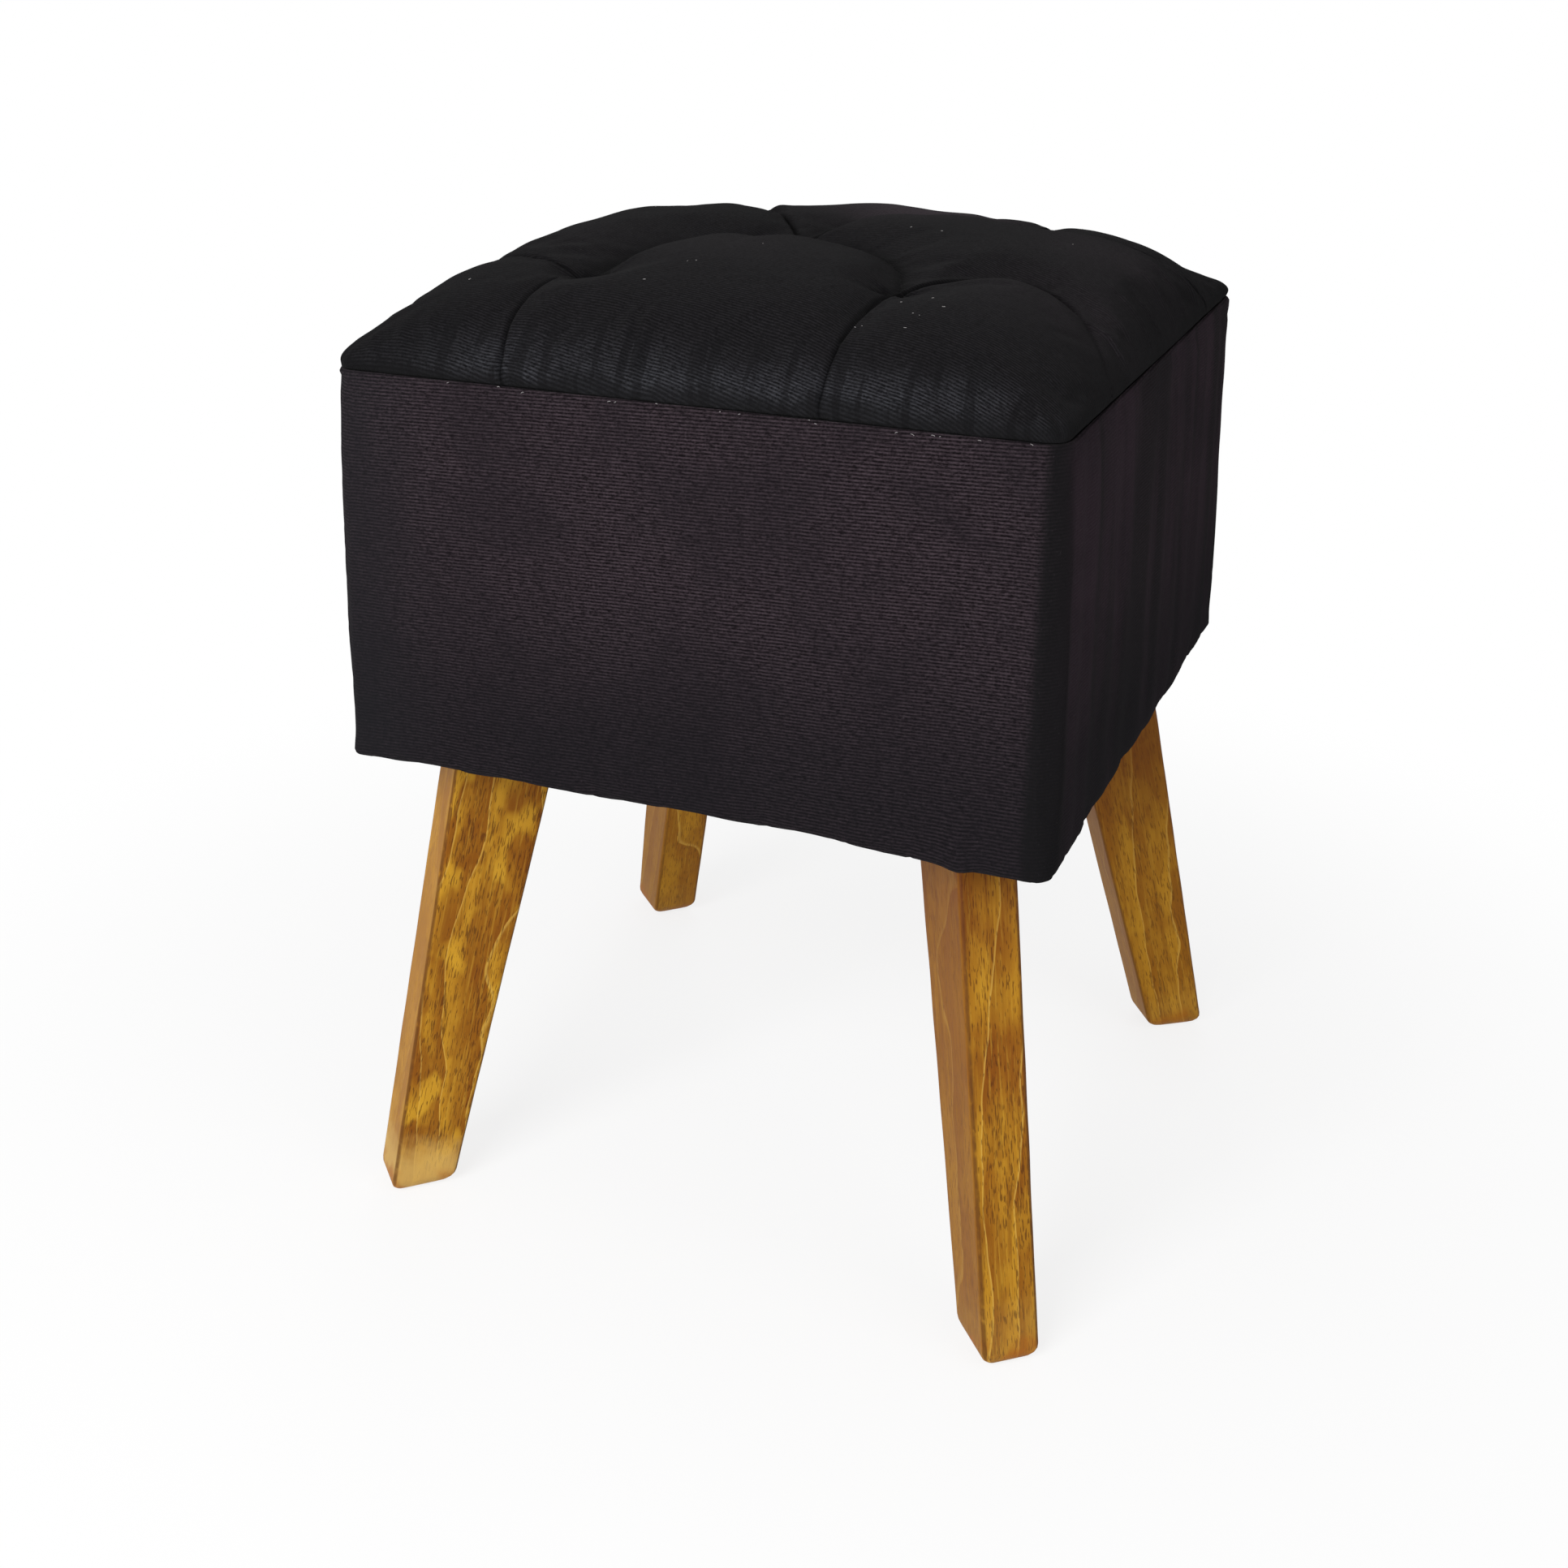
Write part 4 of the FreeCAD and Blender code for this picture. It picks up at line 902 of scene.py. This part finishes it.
def crown_suede():
    """Nearly black pile: smooth on top, with ribs painted pale as a highlight and stretched streaks low on
    the front flank; painted shade in hollows, pleats, near the seam, on the left and on the side flanks;
    painted sheen behind.
    """
    s = Shader("crown_suede", CROWN_COLORS)
    lengths = s.place("UV")
    solid = s.place()
    across, _, height = s.parts(solid)
    share, grain, normal = suede(s, s.mapped(lengths, turn=(0, 0, math.radians(13))), 1.6 * MM, 3.0)
    nx, ny, _ = s.facing()
    # Painted highlight: low on the front flank, where it faces the front, the ribs take a pale bluish colour
    # as if they catch the light, strongest across the lit middle and right.
    front = s.rises(s.times(ny, -1.0), 0.20, 0.75)
    patches = s.noise(solid, 21.0, 3.0, 0.55, 0.4, shift=(3, 2, 5))
    reach = s.plus(height, s.times(patches, 26 * MM))
    flank = s.falls(reach, SEAM_Z + 18 * MM, SEAM_Z + 42 * MM)
    flank = s.times(front, flank, s.rises(patches, 0.18, 0.64))
    lit = s.times(s.rises(across, -165 * MM, -70 * MM), s.falls(across, 140 * MM, 180 * MM))
    flank = s.times(flank, s.plus(s.times(lit, 0.80), 0.20))
    top = s.mix(share, "pile shade", "pile")
    ribbed = s.mix(share, "rib shade", "rib")
    # Paler purple pile: brushed-up nap, and on the grazing rear slope a painted sheen.
    top = s.mix(s.attribute("sheen_and_nap"), top, s.mix(share, "sheen and nap groove", "sheen_and_nap"))
    s.color = s.mix(flank, top, ribbed)
    # Painted shade at the seam: darker on the rim tucked under it and, in patches, low on the flank just
    # above it.
    patchy = s.noise(solid, 24.0, 2.0, 0.5, shift=(7, 1, 2), stretch=(1, 1, 0.6))
    edge = s.falls(s.plus(height, s.times(patchy, -22 * MM)), SEAM_Z - 9 * MM, SEAM_Z - 1 * MM)
    s.tint(edge, 0.80, "edge")
    # Painted shade: the left part of the crown is darker.
    s.tint(s.falls(across, -150 * MM, -85 * MM), 0.45, "left")
    streaks = s.noise(lengths, 1.0, 2.0, 0.5, stretch=(150, 14, 1))
    stretched = s.times(front, s.falls(height, SEAM_Z + 22 * MM, SEAM_Z + 38 * MM))
    s.tint(s.times(s.rises(streaks, 0.53, 0.63), 0.55), stretched, "streak")
    s.tint(s.rises(patches, 0.48, 0.66), 0.30, "patch")
    # Painted shade: the flanks that face left and right are darker.
    s.tint(s.rises(s.math("ABSOLUTE", nx), 0.36, 0.80), 0.5, "side")
    s.tint(s.rises(grain, 0.70, 0.84), 0.22, "tip")
    # Painted shade: darker deep in the folds and tufts, with some dust there, and darkest along the sharp
    # pleats.
    s.tint(s.rises(s.attribute("hollow"), 0.05, 0.80), 0.85, "hollow")
    s.tint(s.attribute("crease"), 0.95, "crease")
    return s.finish(Roughness=1.0, Normal=normal, **SUEDE_SHEEN)


# Of the band's colours, the corner and left colours and the darker bar colours of the right side are painted
# shade; the bars are partly nap.
BAND_COLORS = {
    "rib shade": (0.0032, 0.0025, 0.0030), "rib": (0.0520, 0.0385, 0.0465),
    "bar": (0.0235, 0.0152, 0.0205), "bar shade": (0.0120, 0.0098, 0.0112),
    "bar rib": (0.0420, 0.0330, 0.0400), "patch": (0.0105, 0.0088, 0.0108),
    "low": (0.0070, 0.0070, 0.0082), "corner": (0.0072, 0.0070, 0.0076),
    "left": (0.0120, 0.0122, 0.0140), "tip": (0.105, 0.088, 0.100),
}


def band_suede():
    """Purple brown pile with ribs all over, darker low down, with painted shade along the near corner,
    towards the left and on the right side.
    """
    s = Shader("band_suede", BAND_COLORS)
    ribs = s.mapped(s.place("UV"), turn=(0, 0, math.radians(-1.5)))
    share, grain, normal = suede(s, ribs, 1.58 * MM, 8.0)
    s.color = s.mix(share, "rib shade", "rib")
    solid = s.place()
    x, y, z = s.parts(solid)
    nx, _, _ = s.facing()
    # Painted shade on the right side: it takes darker colours, in upright bars that are partly the nap and
    # partly painted shade of its standing folds, with fainter ribs.
    bars = s.noise(solid, 1.0, 3.0, 0.55, shift=(1, 4, 0), stretch=(1, 24, 2.2))
    side = s.mix(s.rises(bars, 0.42, 0.58), "bar", "bar shade")
    side = s.mix(s.times(share, 0.34), side, "bar rib")
    s.color = s.mix(s.rises(nx, 0.55, 0.9), s.color, side)
    patches = s.noise(solid, 15.0, 5.0, 0.62, 0.6, shift=(8, 2, 5))
    s.tint(s.rises(patches, 0.42, 0.66), 0.40, "patch")
    s.tint(s.falls(z, HEM_Z + 15 * MM, HEM_Z + 120 * MM), 0.62, "low")
    # Painted shade along the near upright corner, where the front turns to the right side.
    corner = s.times(s.rises(x, 164 * MM, 170 * MM), s.rises(s.times(y, -1.0), 160 * MM, 172 * MM))
    s.tint(corner, 0.85, "corner")
    # Painted shade: darker and bluer towards the left.
    s.tint(s.falls(x, -178 * MM, -105 * MM), 0.50, "left")
    s.tint(s.rises(grain, 0.68, 0.82), 0.26, "tip")
    return s.finish(Roughness=1.0, Normal=normal, **SUEDE_SHEEN)


# The pine's colours for the faces turned to the front left are painted light, and the dark red at the top is
# a painted shadow under the box.
PINE_COLORS = {
    "early": (0.430, 0.205, 0.0130), "late": (0.245, 0.086, 0.0042), "streak": (0.195, 0.064, 0.0032),
    "blotch": (0.195, 0.058, 0.0030), "bright": (0.590, 0.320, 0.022), "mark": (0.185, 0.050, 0.0035),
    "ring edge": (0.600, 0.370, 0.075), "fibre": (0.520, 0.290, 0.030), "pore": (0.075, 0.020, 0.003),
    "painted light pale": (0.400, 0.180, 0.0180), "painted light": (0.235, 0.090, 0.0095), "foot": (0.560, 0.350, 0.098),
    "sole": (0.340, 0.105, 0.009), "arris": (0.100, 0.034, 0.005), "shadow_under_box": (0.085, 0.012, 0.004),
    "rear": (0.560, 0.240, 0.016),
}


def leg_place(s, look):
    """Places along a leg's own axes, from the middle of its foot."""
    corner, set_angle, splay = look[:3]
    turn = (0, -math.atan2(splay, LEG_TOP_Z), math.radians(corner + set_angle))
    foot = LEG_TOP_REACH * heading(corner) + splay * heading(corner + set_angle)
    return s.mapped(s.place(), shift=(*foot, 0), turn=turn, kind="TEXTURE")


def growth_rings(s, local, axes, pith, pitch, seed):
    """Share of each growth ring, from its early wood at 0 to its late wood at 1."""
    x, y, z = axes
    slow = s.noise(local, 1.0, 1.0, 0.4, shift=(seed, 0, 0), stretch=(15, 15, 4))
    waves = s.noise(local, 1.0, 2.0, 0.45, shift=(0, 0, seed), stretch=(17, 17, 12))
    radius = s.root_of_squares(s.minus(x, pith[0]), s.minus(y, pith[1]))
    leaning = s.plus(radius, s.times(z, 0.045))
    rings = s.plus(s.math("DIVIDE", leaning, pitch), s.times(slow, 2.6))
    return s.math("FRACT", s.plus(rings, s.times(waves, 1.7)))


def pine(name, look):
    """Stained pine: growth rings with pale edges, fibre, fine pores, blotched stain and darker arrises;
    painted light on the faces turned to the front left and a painted shadow under the box at the top.
    """
    s = Shader(name, PINE_COLORS)
    corner, _, _, pith, ring_pitch, pale_foot, shadow_under_box, (mark, mark_reach, mark_share), seed = look
    pale = pale_foot > 0.5
    rear = corner > 0
    blotched = 1.0 if pale else 0.6
    local = leg_place(s, look)
    x, y, z = s.parts(local)
    ring = growth_rings(s, local, (x, y, z), pith, ring_pitch, seed)
    s.color = s.mix(s.rises(ring, 0.10, 1.0), "early", "late")
    fibre = s.noise(local, 900.0, 3.0, 0.6, shift=(0, seed, 0), stretch=(1, 1, 0.035))
    streak = s.noise(local, 240.0, 3.0, 0.6, shift=(seed, seed, 0), stretch=(1, 1, 0.05))
    s.tint(s.rises(streak, 0.44, 0.66), 1.0 - 0.5 * blotched, "streak")
    blotch = s.noise(local, 52.0, 3.0, 0.5, shift=(seed, 3, 1), stretch=(1, 1, 0.62))
    s.tint(s.rises(blotch, 0.47, 0.62), 0.72 * blotched, "blotch")
    bright = s.noise(local, 60.0, 2.0, 0.5, shift=(5, seed, 1), stretch=(1, 1, 0.5))
    s.tint(s.rises(bright, 0.52, 0.66), 0.66 * blotched ** 2, "bright")
    below = s.rises(z, (mark - mark_reach) * MM, mark * MM)
    above = s.falls(z, mark * MM, (mark + mark_reach) * MM)
    s.tint(s.times(below, above, s.rises(streak, 0.20, 0.55)), mark_share, "mark")
    line = s.times(s.rises(ring, 0.0, 0.015), s.falls(ring, 0.02, 0.07))
    s.tint(line, 0.55, "ring edge")
    s.tint(s.rises(fibre, 0.50, 0.70), 0.38, "fibre")
    pores = s.noise(local, 1500.0, 1.0, 0.5, shift=(seed, 9, 4), stretch=(1, 1, 0.11))
    dense = s.noise(local, 70.0, 1.0, shift=(2, seed, 7), stretch=(1, 1, 0.3))
    holes = s.rises(s.plus(pores, s.times(dense, 0.22)), 0.700, 0.750)
    s.tint(holes, 0.68, "pore")
    # Painted light: faces turned to the front left take a duller, less saturated colour, standing in for how
    # the light and its reflection fall on them.
    nx, ny, _ = s.facing()
    facing = s.plus(s.times(nx, PAINTED_LIGHT_SIDE[0]), s.times(ny, PAINTED_LIGHT_SIDE[1]))
    s.tint(s.rises(facing, 0.55, 0.95), 0.62, "painted light pale" if pale else "painted light")
    rub = s.noise(local, 160.0, 2.0)
    s.tint(s.falls(s.plus(z, s.times(rub, 16 * MM)), 22 * MM, 48 * MM), pale_foot, "foot")
    # Darker in patches over the lowest part of the foot.
    knot = s.noise(local, 45.0, 2.0, shift=(seed, seed, 9))
    dark_low_patches = s.times(s.rises(knot, 0.42, 0.56), 0.75)
    s.tint(s.falls(z, 6 * MM, 16 * MM), dark_low_patches, "sole")
    wide = s.plus(s.times(z, LEG_WIDENING), LEG_FOOT_HALF)
    at_side = s.rises(s.math("ABSOLUTE", y), LEG_HALF - 2.8 * MM, LEG_HALF - 1.4 * MM)
    at_front = s.rises(s.minus(s.math("ABSOLUTE", x), wide), -2.8 * MM, -1.4 * MM)
    arris = s.times(at_side, at_front)
    s.tint(s.times(arris, s.rises(rub, 0.10, 0.50)), 0.82, "arris")
    # Painted shadow under the box: each leg darkens towards its top, by its own share.
    under = s.rises(z, LEG_TOP_Z - (60 + 200 * shadow_under_box) * MM, LEG_TOP_Z - 20 * MM)
    s.tint(under, 0.15 + 1.4 * shadow_under_box, "shadow_under_box")
    if rear:
        s.color = s.mix(0.14, s.color, "rear")
    rough = s.plus(s.times(fibre, 0.22), 0.42)
    grain = s.minus(s.times(fibre, 0.6), s.times(holes, 0.6))
    return s.finish(Roughness=rough, Normal=s.bump(grain, 0.10 * MM), Coat_Weight=0.02, Coat_Roughness=0.3,
                    Specular_IOR_Level=0.10)


def raw_wood(name, light, dark, scale, seed):
    """Plain planed or pressed board for the hidden frame."""
    s = Shader(name)
    grain = s.noise(s.place(), scale, 4.0, 0.6, 0.8, shift=(seed, seed, 0), stretch=(1, 0.14, 1))
    fine = s.noise(s.place(), scale * 14, 2.0, stretch=(1, 0.05, 1))
    s.color = s.mix(s.rises(grain, 0.35, 0.68), light, dark)
    s.tint(fine, 0.25, dark)
    return s.finish(Roughness=0.72, Normal=s.bump(fine, 0.1 * MM))


def metal(name, color, roughness, seed):
    """Plated or blackened steel with fine scratches and dull patches."""
    s = Shader(name)
    solid = s.place()
    patches = s.noise(solid, 240.0, 3.0, shift=(seed, 0, 0))
    s.color = color
    s.tint(patches, 0.35, tuple(0.55 * part for part in color))
    rough = s.plus(s.times(patches, 0.25), roughness)
    return s.finish(Roughness=rough, Normal=s.bump(s.noise(solid, 2200.0), 0.02 * MM), Metallic=1.0)


def foam_like(name, color, dark, scale, roughness, seed):
    """Matt surface with cells or fibres: foam, felt, twine and moulded plastic."""
    s = Shader(name)
    solid = s.mapped(s.place(), shift=(seed, 0, seed))
    cells = s.noise(solid, scale, 3.0, 0.65)
    broad = s.noise(solid, scale / 30, 2.0)
    s.color = s.mix(s.rises(cells, 0.40, 0.66), dark, color)
    s.tint(broad, 0.2, dark)
    return s.finish(Roughness=roughness, Normal=s.bump(cells, 0.15 * MM), Specular_IOR_Level=0.2)


def paint(material, *node_names):
    """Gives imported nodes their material."""
    for node_name in node_names:
        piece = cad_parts[node_name]
        piece.data.materials.clear()
        piece.data.materials.append(material)


def fleck(place, out, along, length, width):
    """Bent sliver with six corners and a ridge, lying on a surface."""
    side = np.cross(out, along)
    line = [place - along * length / 2, place + side * length * 0.12, place + along * length / 2]
    points = [p + side * width * s for p in line for s in (-0.5, 0.5)] + [p + out * width * 0.6 for p in line]
    faces = [(0, 1, 6), (1, 3, 7, 6), (0, 6, 7, 2), (3, 5, 8, 7), (2, 7, 8, 4), (4, 8, 5), (1, 0, 2, 3),
             (3, 2, 4, 5)]
    return points, faces


def build_lint(crown):
    """Lint on the crown and pale thread ends where the band meets it."""
    source = np.random.RandomState(LINT_SEED)
    skin = coordinates(crown)
    facing = normals(crown)
    too_low = skin[:, 2] <= SEAM_Z + 2 * MM
    flecks = []
    for x, y in LINT:
        index = int(np.argmin(away_from(skin[:, :2], (x * MM, y * MM)) + too_low))
        out = facing[index]
        along = np.cross(out, source.normal(size=3))
        along /= np.linalg.norm(along)
        length = source.uniform(0.5, 1.3) * MM
        flecks.append(fleck(skin[index] + out * 0.1 * MM, out, along, length, 0.24 * MM))
    out = np.array((0.0, -1.0, 0.0))
    for x in THREADS:
        place = np.array((x * MM, -SEAM_HALF - 0.5 * MM, SEAM_Z - source.uniform(0.4, 2.2) * MM))
        along = np.array((1.0, 0.0, source.uniform(-0.5, 0.5)))
        along /= np.linalg.norm(along)
        flecks.append(fleck(place, out, along, source.uniform(0.7, 1.8) * MM, 0.22 * MM))
    points, faces = [], []
    for made_points, made_faces in flecks:
        faces += [tuple(v + len(points) for v in f) for f in made_faces]
        points += made_points
    lint = new_piece("lint", points, faces, False)
    turn_outward(lint)
    fibre = foam_like("lint_fibre", (0.42, 0.40, 0.40), (0.26, 0.25, 0.25), 1800.0, 0.9, 2.0)
    lint.data.materials.append(fibre)
    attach(lint, ROOT)


def build_staples(steel):
    """Staples that hold the dust cloth to the base board, and stand a little slanted."""
    low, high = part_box("dust_cloth")
    edge = high.x - STAPLE_INSET * MM
    thick = STAPLE_SECTION[-1][1]
    points, faces = [], []
    for side, (c, s) in enumerate(((1, 0), (0, 1), (-1, 0), (0, -1))):
        for number in range(STAPLES):
            middle = (STAPLE_PITCH * (number - (STAPLES - 1) / 2) + 2.5 * math.sin(5 * number + side)) * MM
            slant = 0.12 * math.sin(3 * number + 2 * side)
            start = len(points)
            for run, drop in STAPLE_WIRE:
                for across, rise in STAPLE_SECTION:
                    x = middle + run * MM - across * MM * slant
                    y = -edge + across * MM + run * MM * slant
                    points.append((c * x - s * y, s * x + c * y, low.z - (drop - thick + rise) * MM))
            wire = [(0, 1, 2, 3), (15, 14, 13, 12)] + tube_faces(4, len(STAPLE_WIRE), False)
            faces += [[start + v for v in face] for face in wire]
    staples = new_piece("staples", points, faces, False)
    turn_outward(staples)
    staples.data.materials.append(steel)
    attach(staples, ROOT)


# Floor, lights and camera. The floor fades to white away from the object.
FLOOR_HALF = 40.0
FLOOR_FADE = (0.22, 0.75)
FLOOR_NEAR = 0.81
WORLD_FILL = 0.34
WHITE = (1, 1, 1)
LIGHT_TARGET = (0, 0, 0.3)
# Each lamp: its place, its width and its power in watts.
LIGHTS = {
    "key": ((-0.30, -1.72, 1.15), 1.1, 35),
    "side": ((1.6, -0.7, 1.2), 1.3, 7),
    "rear": ((-0.5, 1.7, 1.2), 1.3, 6),
}
CAMERA_PLACE = (0.3683, -0.9593, 0.6673)
CAMERA_YAW = math.radians(-21.934)
CAMERA_DOWN = math.radians(24.507)
CAMERA_ROLL = math.radians(0.358)
CAMERA_LENS = 46.54
CAMERA_SENSOR = 36.0


def build_floor():
    """Plain pale floor, nearly white to the camera, with the object's shadow on it."""
    corners = [(FLOOR_HALF * x, FLOOR_HALF * y, 0) for x, y in ((-1, -1), (1, -1), (1, 1), (-1, 1))]
    floor = new_piece("floor", corners, [(0, 1, 2, 3)])
    s = Shader("floor")
    s.color = s.mix(s.noise(s.place(), 3.0, 2.0), (0.90, 0.90, 0.90), (0.92, 0.92, 0.92))
    s.finish(Roughness=0.95, Specular_IOR_Level=0.0)
    light = s.node("Emission", {"Color": WHITE})
    path = s.node("LightPath")
    x, y, _ = s.parts(s.place())
    share = s.plus(s.times(s.rises(s.root_of_squares(x, y), *FLOOR_FADE), 1 - FLOOR_NEAR), FLOOR_NEAR)
    seen = s.math("MAXIMUM", path.outputs["Is Camera Ray"], path.outputs["Is Glossy Ray"])
    seen = s.math("MAXIMUM", seen, path.outputs["Is Transmission Ray"])
    blend = s.node("MixShader", {0: s.times(seen, share), 1: s.surface.outputs[0], 2: light.outputs[0]})
    s.link(blend.outputs[0], s.tree.nodes["Material Output"].inputs["Surface"])
    floor.data.materials.append(s.holder)


def build_world():
    """Even pale surroundings that look white to the camera."""
    s = Shader("studio", holders=bpy.data.worlds)
    bpy.context.scene.world = s.holder
    s.tree.nodes.clear()
    fill = s.node("Background", {"Color": WHITE, "Strength": WORLD_FILL})
    white = s.node("Background", {"Color": WHITE, "Strength": 1.0})
    seen = s.node("LightPath").outputs["Is Camera Ray"]
    blend = s.node("MixShader", {0: seen, 1: fill.outputs[0], 2: white.outputs[0]})
    s.node("OutputWorld", {"Surface": blend.outputs[0]})


def add_light(name, place, width, watts):
    """Soft square lamp that looks at the middle of the object."""
    lamp = bpy.data.lights.new(name, "AREA")
    lamp.size = width
    lamp.energy = watts
    holder = bpy.data.objects.new(name, lamp)
    holder.location = place
    holder.rotation_euler = (Vector(LIGHT_TARGET) - Vector(place)).to_track_quat("-Z", "Y").to_euler()
    bpy.context.scene.collection.objects.link(holder)


def build_camera():
    """Camera at the photograph's place."""
    yaw = Matrix.Rotation(-CAMERA_YAW, 4, "Z")
    pitch = Matrix.Rotation(math.pi / 2 - CAMERA_DOWN, 4, "X")
    roll = Matrix.Rotation(CAMERA_ROLL, 4, "Z")
    data = bpy.data.cameras.new("camera")
    data.lens = CAMERA_LENS
    data.sensor_width = CAMERA_SENSOR
    data.sensor_fit = "HORIZONTAL"
    data.clip_start = 0.01
    camera = bpy.data.objects.new("camera", data)
    camera.matrix_world = Matrix.Translation(CAMERA_PLACE) @ yaw @ pitch @ roll
    bpy.context.scene.collection.objects.link(camera)
    bpy.context.scene.camera = camera


crown = build_crown()
crown.data.materials.append(crown_suede())
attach(crown, ROOT)
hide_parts("top_cover", "seat_foam")

band = build_band()
band.data.materials.append(band_suede())
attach(band, ROOT)
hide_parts("side_cover", "front_pad", "right_pad", "rear_pad", "left_pad")

for leg_name, look in LEG_LOOKS.items():
    leg_wood = pine("pine_" + leg_name, look)
    leg = build_leg(leg_name, look)
    leg.data.materials.append(leg_wood)
    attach(leg, ROOT)
    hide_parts(leg_name)
    paint(leg_wood, leg_name)

blocks = [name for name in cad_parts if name.startswith("block_")]
boards = [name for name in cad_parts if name.endswith(("_panel", "_board"))]
zinc = metal("zinc_steel", (0.62, 0.62, 0.64), 0.30, 1.0)
paint(raw_wood("raw_pine", (0.60, 0.42, 0.22), (0.40, 0.24, 0.11), 60.0, 2.0), *blocks)
paint(raw_wood("board", (0.52, 0.36, 0.20), (0.36, 0.23, 0.12), 90.0, 5.0), *boards)
paint(zinc, "leg_screws", "leg_washers")
paint(metal("dark_steel", (0.10, 0.10, 0.105), 0.42, 6.0), "panel_screws", "base_screws", "seat_screws")
paint(foam_like("disc_plastic", (0.55, 0.54, 0.50), (0.42, 0.41, 0.38), 900.0, 0.5, 3.0), "tuft_discs")
paint(foam_like("twine", (0.62, 0.58, 0.50), (0.35, 0.32, 0.27), 2600.0, 0.8, 4.0), "tuft_twines")
paint(foam_like("dust_cloth", (0.020, 0.020, 0.021), (0.008, 0.008, 0.009), 700.0, 0.95, 5.0), "dust_cloth")
paint(foam_like("foam", (0.70, 0.66, 0.52), (0.50, 0.46, 0.34), 500.0, 0.95, 6.0),
      "seat_foam", "front_pad", "right_pad", "rear_pad", "left_pad")
paint(crown.data.materials[0], "top_cover")
paint(band.data.materials[0], "side_cover")

build_lint(crown)
build_staples(zinc)
build_floor()
build_world()
for light_name, (place, width, watts) in LIGHTS.items():
    add_light(light_name, place, width, watts)
build_camera()
bpy.context.scene.view_settings.view_transform = "Standard"
